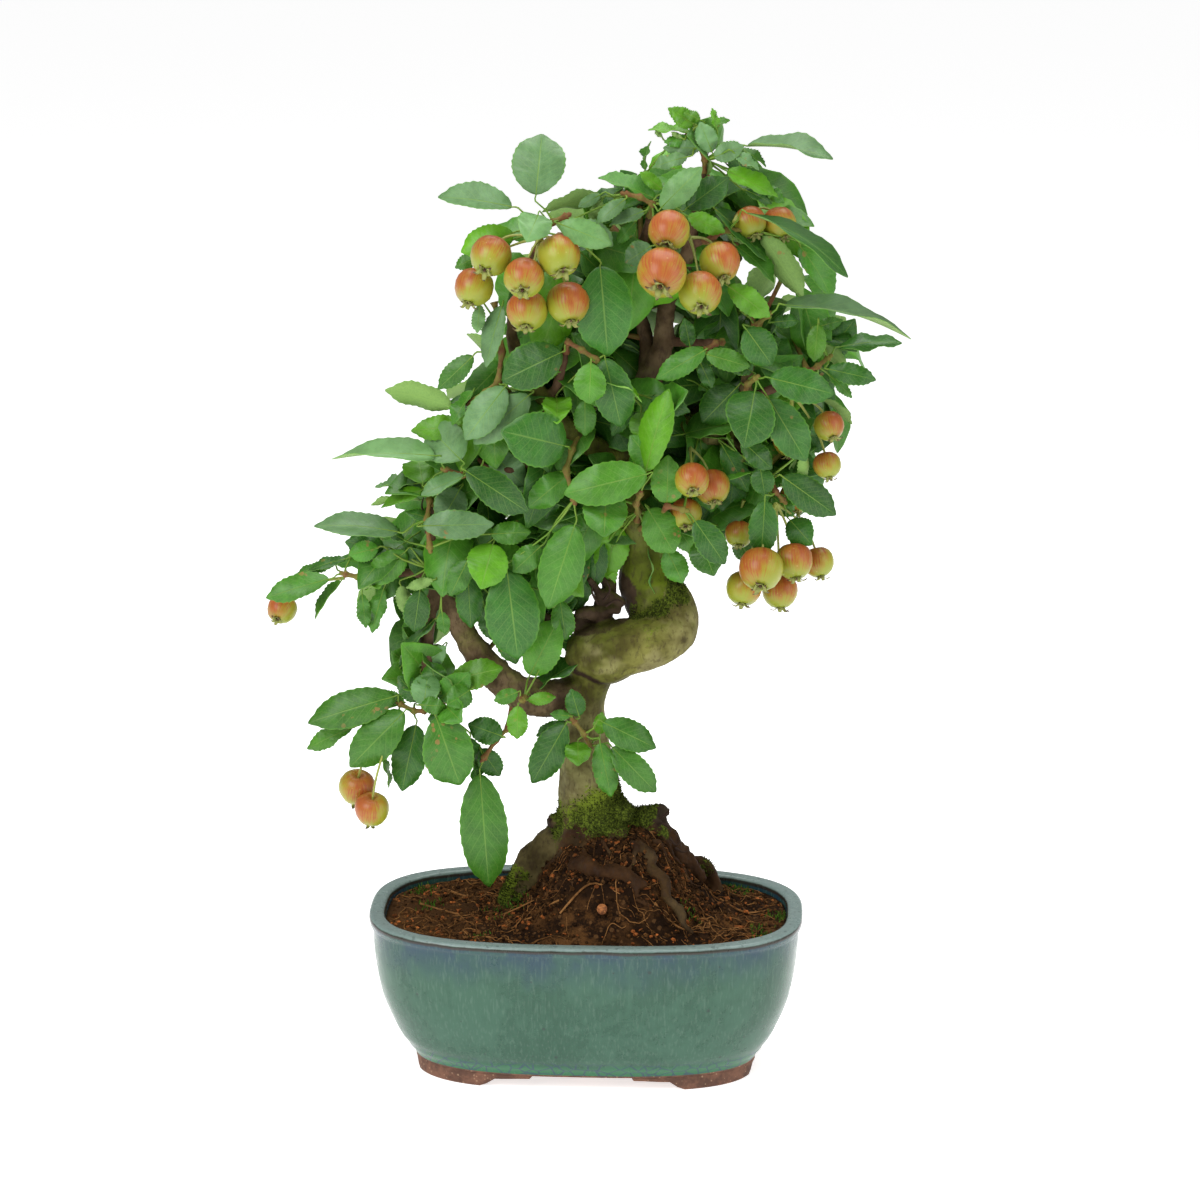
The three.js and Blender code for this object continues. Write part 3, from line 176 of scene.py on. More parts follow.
# Shoots: stem points (x, y, behind), then blades (base x, base y, tip x, tip y, width across,
# behind the stem, side shown). S, G, D and Y are an upper face in painted sun with a painted
# bluish sheen, plain, in painted shade and young, the young green partly painted light shining
# through the blade, and P is a pale underside.
SHOOTS = {
    "upper_left": (((535, 250, -26), (540, 234, -30), (553, 222, -30), (566, 216, -28)), (
        (536, 195, 542, 134, 52, 0, "S"), (512, 207, 438, 197, 27, -2, "S"),
        (538, 215, 527, 242, 35, -8, "S"), (513, 233, 461, 252, 33, 8, "Y"),
        (560, 224, 612, 245, 27, -12, "S"), (480, 255, 455, 268, 16, 14, "D"),
        (600, 266, 608, 356, 56, 2, "D"),
    )),
    "centre_upper": ((
        (566, 352, -20), (568, 342, -24), (582, 350, -26), (595, 359, -26), (614, 376, -22),
        (630, 392, -16),
    ), (
        (562, 352, 502, 381, 45, -4, "D"), (562, 356, 540, 378, 20, 6, "Y"),
        (591, 363, 589, 404, 32, -8, "G"), (557, 398, 557, 424, 30, 4, "Y"),
        (585, 400, 585, 436, 23, 3, "G"), (605, 358, 621, 427, 40, 0, "D"),
        (602, 382, 642, 402, 5, -6, "Y"), (641, 412, 641, 440, 24, 0, "Y"),
        (650, 398, 690, 412, 20, 4, "D"), (632, 400, 612, 436, 18, 6, "D"),
    )),
    "left_upper": ((
        (494, 302, -22), (499, 322, -23), (502, 352, -22), (498, 382, -20), (486, 392, -18),
        (470, 402, -16),
    ), (
        (480, 305, 477, 333, 14, -4, "S"), (502, 306, 486, 367, 22, -4, "S"),
        (473, 356, 438, 389, 22, 6, "G"), (452, 407, 385, 390, 25, 4, "P"),
        (464, 425, 411, 431, 25, 6, "Y"), (473, 391, 452, 425, 14, 0, "G"),
        (505, 387, 465, 440, 35, -5, "S"), (529, 395, 474, 444, 35, -2, "S"),
        (500, 392, 524, 428, 22, 4, "D"),
    )),
    "left_middle": (((492, 474, -14), (476, 475, -18), (462, 475, -20), (446, 470, -20)), (
        (435, 456, 332, 459, 20, -2, "S"), (461, 460, 429, 428, 45, -4, "S"),
        (423, 483, 418, 457, 35, 8, "Y"), (464, 476, 421, 495, 17, -4, "S"),
        (466, 471, 528, 512, 35, -8, "D"), (491, 452, 525, 486, 30, 2, "S"),
    )),
    "left_outer": (((433, 506, -4), (430, 499, -8), (427, 520, -14), (430, 548, -16)), (
        (415, 484, 375, 487, 11, 2, "S"), (422, 490, 381, 508, 14, -2, "Y"),
        (420, 500, 371, 505, 8, 4, "P"), (398, 532, 314, 526, 25, -4, "S"),
        (423, 526, 494, 524, 30, -10, "S"), (491, 534, 531, 532, 24, -4, "G"),
        (460, 489, 440, 524, 34, 0, "S"), (435, 520, 405, 512, 12, 4, "D"),
        (404, 540, 372, 526, 12, 8, "D"),
    )),
    "left_lower": (((432, 560, -2), (428, 568, -8), (440, 575, -12), (460, 568, -14)), (
        (384, 547, 345, 542, 25, 6, "D"), (378, 548, 349, 555, 22, 2, "G"),
        (406, 551, 368, 584, 30, -4, "G"), (433, 580, 406, 588, 12, -4, "P"),
        (420, 590, 414, 632, 27, -2, "D"), (401, 586, 406, 615, 16, 2, "P"),
        (435, 619, 400, 659, 12, 4, "D"), (442, 612, 445, 634, 14, -6, "G"),
        (468, 560, 450, 596, 24, -6, "G"), (468, 574, 471, 628, 28, 0, "D"),
        (493, 544, 481, 589, 42, -6, "Y"), (502, 612, 516, 664, 30, 6, "D"),
        (484, 606, 492, 640, 20, 8, "D"), (560, 600, 566, 640, 24, 6, "D"),
    )),
    "left_tip": (((384, 575, 0), (372, 573, -2), (358, 577, -3), (345, 574, -3)), (
        (329, 579, 266, 598, 26, -4, "G"), (346, 559, 309, 570, 12, 4, "D"),
        (341, 581, 315, 619, 10, 2, "D"), (388, 580, 365, 590, 6, -8, "Y"),
        (384, 588, 372, 633, 18, 0, "G"), (362, 594, 366, 628, 15, 3, "G"),
        (330, 566, 296, 574, 12, 8, "D"),
    )),
    "centre_left": (((578, 436, -8), (572, 450, -18), (566, 470, -24), (574, 500, -26)), (
        (565, 446, 501, 431, 55, -6, "D"), (569, 474, 528, 508, 30, 4, "G"),
        (541, 546, 513, 572, 26, 2, "G"), (575, 525, 548, 609, 45, -4, "G"),
        (507, 570, 518, 659, 55, 4, "D"), (548, 480, 546, 520, 26, 12, "D"),
    )),
    "front": (((637, 520, 2), (638, 512, -14), (636, 504, -24), (640, 494, -30)), (
        (647, 474, 564, 494, 42, -4, "G"), (606, 492, 604, 537, 45, 2, "G"),
        (654, 465, 630, 435, 28, 4, "G"), (646, 471, 669, 389, 32, 0, "Y"),
        (617, 526, 606, 576, 34, 6, "Y"), (648, 546, 655, 602, 8, 4, "G"),
        (585, 572, 572, 612, 22, 16, "D"), (600, 540, 590, 590, 26, 4, "D"),
        (612, 556, 606, 592, 18, 8, "Y"), (586, 548, 576, 612, 28, 6, "D"),
        (690, 530, 712, 566, 30, 4, "D"), (672, 520, 694, 552, 24, 6, "G"),
        (736, 536, 752, 562, 24, 6, "D"),
    )),
    "front_right": (((640, 528, 4), (660, 516, -12), (667, 506, -26), (684, 510, -28)), (
        (667, 503, 668, 455, 34, 0, "G"), (648, 509, 674, 553, 38, -6, "G"),
        (695, 521, 725, 564, 30, -2, "D"), (700, 540, 714, 576, 34, 10, "D"),
        (667, 550, 683, 583, 27, 8, "G"), (700, 440, 712, 512, 44, 28, "D"),
    )),
    "right_low": (((764, 468, -4), (770, 477, -10), (776, 492, -12), (783, 500, -12)), (
        (765, 500, 761, 556, 30, -6, "D"), (790, 520, 812, 545, 30, 6, "D"),
        (783, 477, 836, 515, 34, -4, "D"), (808, 452, 802, 485, 12, -2, "P"),
        (760, 467, 765, 496, 24, -8, "D"), (722, 445, 748, 492, 24, -2, "D"),
        (742, 441, 772, 469, 24, -10, "D"), (772, 496, 794, 516, 20, 8, "D"),
        (735, 470, 728, 520, 30, 12, "D"),
    )),
    "right_middle": (((744, 396, -8), (748, 384, -18), (756, 378, -22)), (
        (755, 391, 744, 448, 50, -6, "D"), (769, 399, 806, 461, 38, -4, "D"),
        (737, 387, 702, 423, 38, 0, "D"), (770, 378, 834, 394, 35, -6, "D"),
        (752, 372, 726, 356, 22, 6, "D"),
    )),
    "right_outer": (((808, 372, -6), (818, 366, -8), (828, 358, -8)), (
        (828, 369, 876, 380, 22, -4, "D"), (830, 376, 852, 398, 12, 2, "G"),
        (818, 342, 848, 371, 14, 4, "P"), (840, 347, 902, 343, 17, 0, "D"),
        (817, 327, 843, 320, 14, 8, "G"), (818, 324, 814, 362, 20, -6, "Y"),
        (822, 399, 852, 424, 8, 6, "P"),
    )),
    "right_upper": (((754, 336, -12), (755, 326, -16), (768, 315, -18)), (
        (785, 305, 911, 339, 17, -4, "S"), (728, 286, 770, 317, 25, -4, "Y"),
        (746, 329, 772, 365, 35, -8, "D"), (773, 322, 800, 320, 14, 6, "D"),
        (744, 306, 758, 290, 12, 6, "D"),
    )),
    "centre_right": (((722, 342, -12), (716, 343, -18), (706, 350, -20)), (
        (705, 350, 656, 379, 25, -4, "G"), (706, 354, 750, 367, 22, -4, "G"),
        (700, 362, 712, 388, 16, 4, "D"), (690, 346, 684, 318, 16, 8, "D"),
    )),
    "high_right": (((704, 241, -6), (714, 236, -10), (728, 230, -10), (752, 230, -8)), (
        (688, 216, 725, 232, 20, -14, "Y"), (714, 208, 767, 261, 20, 4, "D"),
        (747, 213, 848, 277, 20, -16, "D"), (737, 246, 774, 283, 18, 4, "G"),
        (726, 232, 753, 253, 10, 10, "P"), (763, 236, 803, 298, 25, 2, "P"),
        (800, 246, 833, 301, 25, 8, "G"),
    )),
    "top": (((704, 172, -3), (705, 160, -5), (700, 146, -5), (690, 136, -4)), (
        (694, 126, 672, 109, 20, 0, "Y"), (662, 137, 655, 130, 6, 2, "P"), (682, 138, 671, 132, 6, -4, "P"),
        (712, 152, 700, 122, 22, -4, "S"), (714, 157, 744, 146, 20, -6, "S"),
        (747, 146, 833, 159, 19, 2, "S"), (700, 148, 663, 148, 18, -2, "S"),
        (742, 149, 766, 167, 8, 6, "G"), (734, 153, 759, 170, 12, -8, "S"), (645, 170, 651, 141, 6, 4, "G"),
        (687, 157, 652, 168, 15, -6, "S"), (727, 171, 778, 197, 20, -2, "Y"),
        (765, 186, 784, 203, 14, 6, "G"), (745, 190, 772, 204, 12, 4, "D"),
        (694, 124, 668, 108, 16, 0, "Y"), (690, 132, 648, 130, 10, 0, "Y"),
        (700, 120, 684, 112, 12, -2, "Y"), (716, 128, 712, 108, 8, -2, "Y"),
        (690, 140, 664, 142, 14, -2, "G"), (700, 132, 730, 120, 12, 4, "G"),
    )),
    "top_left": (((650, 216, -6), (652, 204, -12), (640, 197, -14), (626, 194, -14)), (
        (661, 208, 702, 167, 28, -6, "S"), (687, 208, 729, 177, 30, 4, "D"),
        (655, 199, 598, 178, 18, 6, "G"), (662, 189, 640, 172, 14, 6, "Y"),
        (600, 195, 578, 207, 12, 2, "S"), (602, 201, 589, 221, 12, 4, "P"),
        (625, 199, 596, 224, 16, -4, "S"), (644, 211, 609, 226, 14, -8, "S"),
        (580, 222, 613, 246, 24, 0, "S"), (635, 222, 617, 244, 14, -4, "G"),
        (651, 246, 625, 263, 25, -8, "S"), (602, 197, 542, 212, 14, 8, "P"),
    )),
    "lower_left": ((
        (429, 690, -11), (434, 698, -15), (432, 708, -18), (424, 711, -17), (414, 711, -16),
        (400, 704, -14),
    ), (
        (395, 696, 308, 723, 38, -2, "G"), (352, 728, 307, 749, 20, 8, "G"),
        (404, 712, 350, 767, 42, -6, "G"), (416, 725, 402, 791, 36, 2, "D"),
        (436, 717, 460, 785, 52, -8, "G"), (470, 738, 475, 785, 14, 8, "D"),
        (421, 705, 446, 706, 18, -6, "G"), (381, 756, 389, 788, 5, 4, "Y"),
        (440, 690, 429, 662, 26, -2, "G"), (450, 680, 503, 668, 30, -2, "Y"),
        (470, 690, 447, 705, 26, -6, "G"), (442, 646, 395, 672, 18, 6, "G"),
        (424, 706, 428, 672, 30, -4, "S"), (440, 700, 470, 672, 28, -2, "G"),
        (446, 706, 462, 722, 30, -2, "G"), (420, 700, 398, 676, 24, 0, "D"),
        (418, 696, 408, 664, 26, 4, "S"), (404, 702, 378, 694, 16, 0, "G"),
        (424, 668, 446, 646, 20, 2, "S"), (400, 668, 418, 642, 14, 6, "D"),
        (432, 712, 444, 726, 18, 2, "D"),
    )),
    "lower_middle": (((514, 690, -4), (508, 728, -10), (496, 740, -14), (484, 758, -14)), (
        (502, 736, 468, 724, 28, -4, "D"), (481, 749, 500, 776, 24, 4, "D"),
        (480, 774, 489, 887, 49, -2, "G"),
    )),
    "branch_front": (((530, 690, -6), (524, 698, -18), (522, 700, -22)), (
        (530, 675, 559, 618, 38, -4, "G"), (533, 691, 585, 657, 17, 2, "D"),
        (528, 700, 556, 697, 14, -2, "Y"), (518, 692, 494, 701, 16, -2, "G"),
        (518, 706, 517, 739, 22, -2, "Y"), (560, 640, 590, 652, 18, 8, "D"),
    )),
    "trunk_front": (((586, 752, 0), (590, 746, -8), (584, 734, -12), (574, 722, -12)), (
        (579, 716, 571, 689, 21, 2, "D"), (566, 724, 532, 783, 35, -2, "D"),
        (566, 722, 536, 736, 16, 4, "D"), (570, 716, 550, 714, 12, 0, "G"),
        (578, 742, 578, 766, 27, -2, "Y"), (603, 722, 656, 748, 32, -4, "D"),
        (600, 743, 611, 797, 26, -8, "G"), (612, 747, 656, 792, 30, -6, "G"),
        (600, 734, 602, 712, 16, 2, "Y"),
    )),
}

# Hidden side of the crown: rosettes on the back limbs, (x, y, behind, blades).
ROSETTES = {
    "back_upper": (620, 296, 44, 9),
    "back_right": (742, 348, 44, 9),
    "back_left": (516, 404, 42, 9),
    "back_middle": (702, 458, 44, 9),
    "back_low": (446, 562, 38, 9),
}

# Crabapples: spur (x, y, behind), then fruits (x, y, behind, diameter in squares).
TRUSSES = {
    "upper_left": ((540, 238, -34), (
        (491, 256, -38, 40), (474, 287, -28, 38), (524, 278, -49, 39), (559, 256, -43, 42),
        (527, 311, -35, 40), (568, 303, -32, 42),
    )),
    "upper_middle": ((690, 238, -12), (
        (669, 231, -37, 40), (662, 273, -50, 48), (720, 262, -28, 40), (700, 293, -42, 42),
    )),
    "upper_right": ((734, 222, -12), ((750, 222, -4, 32), (779, 224, 2, 34))),
    "right": ((792, 394, -10), (
        (829, 426, -12, 30), (827, 465, -8, 28), (790, 440, -2, 34), (795, 498, 4, 32),
    )),
    "middle": ((690, 448, -6), ((692, 480, -34, 34), (712, 487, -17, 36), (686, 514, -16, 32))),
    "inner": ((744, 500, 2), ((739, 534, -4, 28),)),
    "low_right": ((776, 504, -14), (
        (761, 569, -29, 44), (794, 561, -14, 38), (818, 562, 1, 32), (744, 588, -11, 36),
        (780, 591, -3, 36),
    )),
    "left_tip": ((344, 578, 4), ((282, 609, 4, 30),)),
    "lower_left": ((398, 716, -16), ((357, 787, -12, 37), (372, 809, -26, 35))),
}

# Inner and hidden foliage: a shoot and its clusters on thin twigs that fill the crown's depth, as
# (x, y, behind, leaves, spread in mm, side shown).
CLUSTERS = (
    ("top", ((706, 176, 8, 6, 24, "G"), (672, 172, 16, 4, 22, "G"), (740, 180, 16, 4, 22, "G"))),
    ("top_left", ((640, 208, 6, 6, 26, "G"), (610, 226, 10, 5, 24, "D"), (660, 226, 18, 6, 26, "D"))),
    ("upper_left", ((560, 236, -8, 5, 24, "D"), (530, 262, -8, 5, 24, "D"), (592, 276, 4, 6, 26, "D"))),
    ("high_right", ((756, 246, 10, 6, 26, "D"), (722, 262, 10, 6, 26, "D"), (790, 262, 6, 4, 24, "G"))),
    ("centre_right", ((700, 304, 12, 6, 26, "D"), (640, 300, 20, 5, 26, "D"))),
    ("right_upper", ((752, 300, 4, 6, 26, "D"), (790, 330, 4, 5, 24, "D"))),
    ("centre_upper", ((548, 330, -4, 6, 26, "D"), (590, 330, 0, 6, 26, "D"))),
    ("left_upper", ((520, 344, 0, 6, 24, "G"), (496, 376, 0, 6, 24, "D"), (478, 416, 0, 6, 24, "G"))),
    ("centre_upper", ((600, 400, -6, 7, 28, "D"),)),
    ("centre_right", ((676, 376, 0, 7, 28, "D"),)),
    ("right_middle", ((726, 386, 10, 7, 28, "D"), (774, 380, 8, 6, 26, "D"))),
    ("right_outer", ((812, 372, 4, 5, 22, "D"),)),
    ("right_middle", ((748, 424, 10, 6, 26, "D"),)),
    ("right_low", (
        (800, 440, 4, 5, 22, "D"), (762, 462, 10, 7, 26, "D"), (730, 480, 12, 6, 24, "D"),
        (790, 482, 6, 5, 22, "D"),
    )),
    ("front_right", ((700, 440, 14, 6, 26, "D"), (690, 490, 16, 6, 26, "D"))),
    ("front", ((650, 440, -14, 5, 24, "D"), (618, 470, 6, 7, 28, "D"), (606, 510, 4, 6, 26, "D"))),
    ("centre_left", (
        (560, 410, 0, 7, 28, "D"), (530, 450, 0, 7, 28, "D"), (560, 490, 2, 7, 28, "D"),
        (580, 540, 4, 6, 26, "D"), (526, 530, 2, 7, 28, "D"),
    )),
    ("left_middle", ((490, 466, 0, 6, 26, "D"), (466, 446, 0, 5, 24, "G"), (500, 500, 2, 7, 26, "D"))),
    ("left_outer", ((460, 500, 0, 6, 24, "G"), (428, 524, 4, 5, 24, "G"))),
    ("left_lower", (
        (480, 540, 2, 7, 26, "D"), (504, 580, 2, 7, 26, "D"), (462, 584, 4, 6, 24, "D"),
        (424, 576, 6, 5, 22, "D"),
    )),
    ("left_tip", ((384, 580, 6, 3, 18, "G"),)),
    ("branch_front", ((500, 630, 4, 4, 22, "D"),)),
    ("lower_left", ((430, 692, 0, 7, 18, "D"), (420, 666, 4, 6, 16, "D"), (446, 700, -4, 5, 16, "G"))),
    ("left_lower", ((500, 636, 6, 5, 18, "D"),)),
    ("front", ((594, 574, 12, 8, 16, "D"), (690, 536, 10, 6, 16, "D"))),
    ("back_upper", (
        (660, 250, 34, 8, 28, "G"), (620, 260, 40, 8, 28, "G"), (690, 296, 40, 8, 28, "G"),
        (580, 310, 30, 8, 28, "G"),
    )),
    ("back_right", ((720, 330, 36, 8, 28, "G"), (780, 380, 30, 7, 26, "G"), (700, 410, 46, 8, 28, "G"))),
    ("back_left", (
        (560, 370, 40, 8, 28, "G"), (500, 380, 26, 7, 26, "G"), (600, 420, 46, 8, 28, "G"),
        (550, 460, 36, 8, 28, "G"),
    )),
    ("back_middle", ((650, 480, 46, 7, 28, "G"), (740, 480, 32, 7, 26, "G"))),
    ("back_low", (
        (490, 540, 30, 8, 26, "G"), (440, 530, 24, 6, 24, "G"), (520, 500, 30, 8, 26, "G"),
        (500, 600, 26, 6, 24, "G"),
    )),
    ("back_upper", ((700, 220, 24, 7, 24, "G"),)),
)

# The crown's outline on the sheet, and the gaps where its limbs or nothing show: (x, y, reach).
CROWN = (
    (455, 258), (470, 226), (505, 212), (548, 208), (580, 192), (610, 178), (642, 166), (668, 132),
    (690, 116), (716, 130), (752, 152), (778, 184), (806, 212), (828, 246), (834, 276), (826, 298),
    (858, 318), (856, 344), (872, 380), (850, 394), (836, 414), (838, 452), (834, 508), (812, 520),
    (786, 524), (760, 548), (724, 562), (704, 556), (690, 546), (668, 552), (640, 536), (622, 548),
    (604, 574), (590, 596), (566, 628), (560, 664), (530, 668), (508, 642), (490, 606), (470, 596),
    (452, 628), (440, 650), (412, 648), (392, 634), (384, 606), (344, 604), (318, 590), (300, 566),
    (344, 546), (352, 524), (378, 508), (380, 488), (398, 468), (412, 440), (442, 416), (430, 392),
    (470, 366), (490, 340), (474, 312),
)
LOW_CROWN = ((388, 640), (452, 624), (476, 672), (468, 724), (400, 728), (376, 700))
CROWN_GAPS = (
    (768, 284, 24), (744, 300, 12), (713, 324, 11), (793, 314, 9), (790, 337, 7), (487, 702, 18),
    (405, 510, 8), (405, 523, 8), (385, 536, 8), (560, 214, 8), (654, 312, 12), (648, 338, 12),
    (662, 332, 12), (499, 513, 9), (522, 517, 7), (452, 650, 10), (432, 640, 9), (453, 635, 9),
    (447, 488, 7), (728, 240, 8), (723, 204, 7), (743, 207, 6), (762, 223, 6), (598, 435, 10),
    (504, 379, 7), (500, 323, 8), (486, 346, 9), (600, 254, 8), (616, 233, 7), (636, 231, 7), (535, 225, 8),
    (532, 409, 8), (698, 376, 7), (617, 194, 5), (460, 372, 10), (474, 628, 14), (498, 668, 16),
    (650, 592, 32), (668, 566, 18), (640, 548, 12), (580, 612, 8), (470, 650, 10), (821, 446, 7),
    (614, 741, 6),
)


# ---- Placing ----
def seen(x, y, behind):
    """The place that shows at a point of the front sheet, that far behind the pot's middle."""
    across = (x - SHEET_MIDDLE) * SQUARE
    above = (SHEET_MIDDLE - y) * SQUARE
    sine, cosine = math.sin(TILT), math.cos(TILT)
    far = behind * cosine / REACH
    rise = (above * (1 + far) - behind * sine) / (cosine + above * sine / REACH)
    scale = 1 + far - rise * sine / REACH
    place = UP * (AIM_HEIGHT + rise) + SIDEWAYS * (across * scale + AIM_SIDE) - FORWARD * behind
    return POT_MIDDLE + place * MM


def on_sheet(place):
    """Where a place shows on the front sheet."""
    away = (place - AIM) / MM
    scale = (1 - away.dot(TO_VIEWER) / REACH) * SQUARE
    upward = UP * math.cos(TILT) - FORWARD * math.sin(TILT)
    return SHEET_MIDDLE + away.dot(SIDEWAYS) / scale, SHEET_MIDDLE - away.dot(upward) / scale


def in_crown(place):
    """Whether a place shows inside the crown's outline and off its gaps."""
    x, y = on_sheet(place)
    if any(math.hypot(x - gap_x, y - gap_y) < reach for gap_x, gap_y, reach in CROWN_GAPS):
        return False
    for outline_points in (CROWN, LOW_CROWN):
        crossings = 0
        for (x0, y0), (x1, y1) in zip(outline_points, (*outline_points[1:], outline_points[0])):
            if (y0 > y) != (y1 > y) and x < x0 + (x1 - x0) * (y - y0) / (y1 - y0):
                crossings += 1
        if crossings % 2 == 1:
            return True
    return False


def smooth_path(points, widths, spans):
    """Catmull-Rom points and widths through the given ones, with so many spans between each pair."""
    path, sizes = [], []
    last = len(points) - 1
    for k in range(last):
        before, here = points[max(k - 1, 0)], points[k]
        there, after = points[k + 1], points[min(k + 2, last)]
        for step in range(spans):
            t = step / spans
            bend = (before * 2 - here * 5 + there * 4 - after) * t * t
            twist = (here * 3 - before - there * 3 + after) * t**3
            path.append((here * 2 + (there - before) * t + bend + twist) / 2)
            sizes.append(widths[k] + (widths[k + 1] - widths[k]) * t)
    return path + [points[last]], sizes + [widths[last]]


def on_oval(half_length, half_depth, angle):
    """A point of the pot's plan, round its middle."""
    cosine, sine = math.cos(angle), math.sin(angle)
    return (
        half_length * math.copysign(abs(cosine) ** (2 / CORNER_POWER), cosine),
        half_depth * math.copysign(abs(sine) ** (2 / CORNER_POWER), sine),
    )


def ease(low, high, value):
    """0 below low, 1 above high, smooth between."""
    share = min(max((value - low) / (high - low), 0.0), 1.0)
    return share * share * (3 - 2 * share)


def mixed(first, second, part):
    """A colour that part of the way between two."""
    return tuple(a + (b - a) * part for a, b in zip(first, second))


def frame_along(along, up):
    """Unit vectors along, across and up, for a piece that lies along one direction."""
    along = along.normalized()
    up = (up - along * up.dot(along)).normalized()
    return along, up.cross(along), up


# ---- Meshes ----
def make_piece(name, mesh, materials, nodes=()):
    """Shows a mesh as a piece of the tree, in its place, riding on the part's one body."""
    piece = bpy.data.objects.new(name, mesh)
    bpy.context.scene.collection.objects.link(piece)
    if mesh.materials:  # clearing also resets which material each face takes
        mesh.materials.clear()
    for material in materials:
        mesh.materials.append(material)
    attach(piece, "root")
    if nodes:
        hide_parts(*nodes)
    return piece


def mesh_of(shape, name, smooth=True):
    """The finished mesh of a bmesh, which is then freed."""
    mesh = bpy.data.meshes.new(name)
    shape.to_mesh(mesh)
    shape.free()
    mesh.shade_smooth() if smooth else mesh.shade_flat()
    return mesh


def tubes_mesh(name, tubes, roundness):
    """One mesh of closed round tubes, each (points, radii in mm)."""
    curve = bpy.data.curves.new(name, "CURVE")
    curve.dimensions = "3D"
    curve.bevel_depth = MM
    curve.bevel_resolution = roundness
    curve.use_fill_caps = True
    for points, radii in tubes:
        spline = curve.splines.new("POLY")
        spline.points.add(len(points) - 1)
        for knot, point, radius in zip(spline.points, points, radii):
            knot.co = (*point, 1)
            knot.radius = radius
    holder = bpy.data.objects.new(name, curve)
    mesh = bpy.data.meshes.new_from_object(holder)
    bpy.data.objects.remove(holder)
    bpy.data.curves.remove(curve)
    mesh.name = name
    mesh.shade_smooth()
    return mesh


def modified(mesh, kind, **settings):
    """The mesh after one modifier."""
    holder = bpy.data.objects.new(mesh.name, mesh)
    bpy.context.scene.collection.objects.link(holder)
    change = holder.modifiers.new(kind.title(), kind)
    for name, value in settings.items():
        setattr(change, name, value)
    graph = bpy.context.evaluated_depsgraph_get()
    result = bpy.data.meshes.new_from_object(holder.evaluated_get(graph))
    bpy.data.objects.remove(holder)
    return result


def write_floats(mesh, name, values, kind="FLOAT"):
    """Keeps one value, colour or vector for each point of a mesh under a name that finishes read."""
    attribute = mesh.attributes.new(name, kind, "POINT")
    field = {"FLOAT": "value", "FLOAT_COLOR": "color", "FLOAT_VECTOR": "vector"}[kind]
    flat = values if kind == "FLOAT" else [number for value in values for number in value]
    attribute.data.foreach_set(field, flat)


def linear(red, green, blue):
    """A linear colour from display values of 0 to 255."""
    return tuple(((c / 255 + 0.055) / 1.055) ** 2.4 if c > 10 else c / 3295 for c in (red, green, blue))


class Nodes:
    """Short calls for adding nodes to a shader tree. Each returns a socket."""

    def __init__(self, tree):
        self.tree = tree

    def give(self, socket, value):
        """Feeds a socket from another socket, or sets its colour or plain value."""
        if isinstance(value, bpy.types.NodeSocket):
            self.tree.links.new(value, socket)
        else:
            socket.default_value = (*value[:3], 1) if socket.type == "RGBA" else value

    def add(self, kind, sockets, **settings):
        node = self.tree.nodes.new("ShaderNode" + kind)
        for name, value in settings.items():
            setattr(node, name, value)
        for key, value in sockets.items():
            self.give(node.inputs[key], value)
        return node

    def place(self):
        return self.add("TexCoord", {}).outputs["Object"]

    def stretched(self, place, scale):
        return self.add("Mapping", {"Vector": place, "Scale": scale}).outputs[0]

    def split(self, vector):
        return self.add("SeparateXYZ", {0: vector}).outputs

    def math(self, operation, first, second=0.0):
        return self.add("Math", {0: first, 1: second}, operation=operation).outputs[0]

    def times(self, first, second):
        return self.math("MULTIPLY", first, second)

    def plus(self, first, second):
        return self.math("ADD", first, second)

    def minus(self, first, second):
        return self.math("SUBTRACT", first, second)

    def mix(self, share, low, high, blend="MIX"):
        sockets = {0: share, 6: low, 7: high}
        return self.add("Mix", sockets, data_type="RGBA", blend_type=blend).outputs[2]

    def span(self, value, low, high, start=0.0, end=1.0):
        sockets = {0: value, 1: low, 2: high, 3: start, 4: end}
        return self.add("MapRange", sockets, interpolation_type="SMOOTHSTEP").outputs[0]

    def noise(self, place, scale, detail=3.0, roughness=0.55, distortion=0.0):
        sockets = {"Vector": place, "Scale": scale, "Detail": detail, "Roughness": roughness}
        return self.add("TexNoise", {**sockets, "Distortion": distortion}).outputs["Fac"]

    def cracks(self, place, scale):
        """Distance to the nearest edge between scattered cells."""
        sockets = {"Vector": place, "Scale": scale}
        return self.add("TexVoronoi", sockets, feature="DISTANCE_TO_EDGE").outputs["Distance"]

    def attribute(self, name, output="Fac"):
        return self.add("Attribute", {}, attribute_name=name).outputs[output]

    def bump(self, height, strength, distance):
        sockets = {"Strength": strength, "Distance": distance * MM, "Height": height}
        return self.add("Bump", sockets).outputs[0]

    def effect(self, group, sockets):
        return self.add("Group", sockets, node_tree=group).outputs

    def specked(self, place, scale, size):
        """Mask of round specks."""
        return self.effect(specks(), {"Place": place, "Scale": scale, "Size": size})["Mask"]

    def mottled(self, place, scale, first, second):
        """Colour and share of a cloudy change between two colours."""
        sockets = {"Place": place, "Scale": scale, "First": first, "Second": second}
        return self.effect(mottle(), sockets)


def effect_group(name, inputs, outputs, fill):
    """A named shader effect, built once. fill(nodes, inputs) gives one socket for each output."""
    group = bpy.data.node_groups.get(name)
    if group:
        return group
    group = bpy.data.node_groups.new(name, "ShaderNodeTree")
    for label, kind in inputs:
        group.interface.new_socket(label, in_out="INPUT", socket_type="NodeSocket" + kind)
    for label, kind in outputs:
        group.interface.new_socket(label, in_out="OUTPUT", socket_type="NodeSocket" + kind)
    nodes = Nodes(group)
    entry = group.nodes.new("NodeGroupInput")
    leaving = group.nodes.new("NodeGroupOutput")
    for (label, _), socket in zip(outputs, fill(nodes, entry.outputs)):
        group.links.new(socket, leaving.inputs[label])
    return group


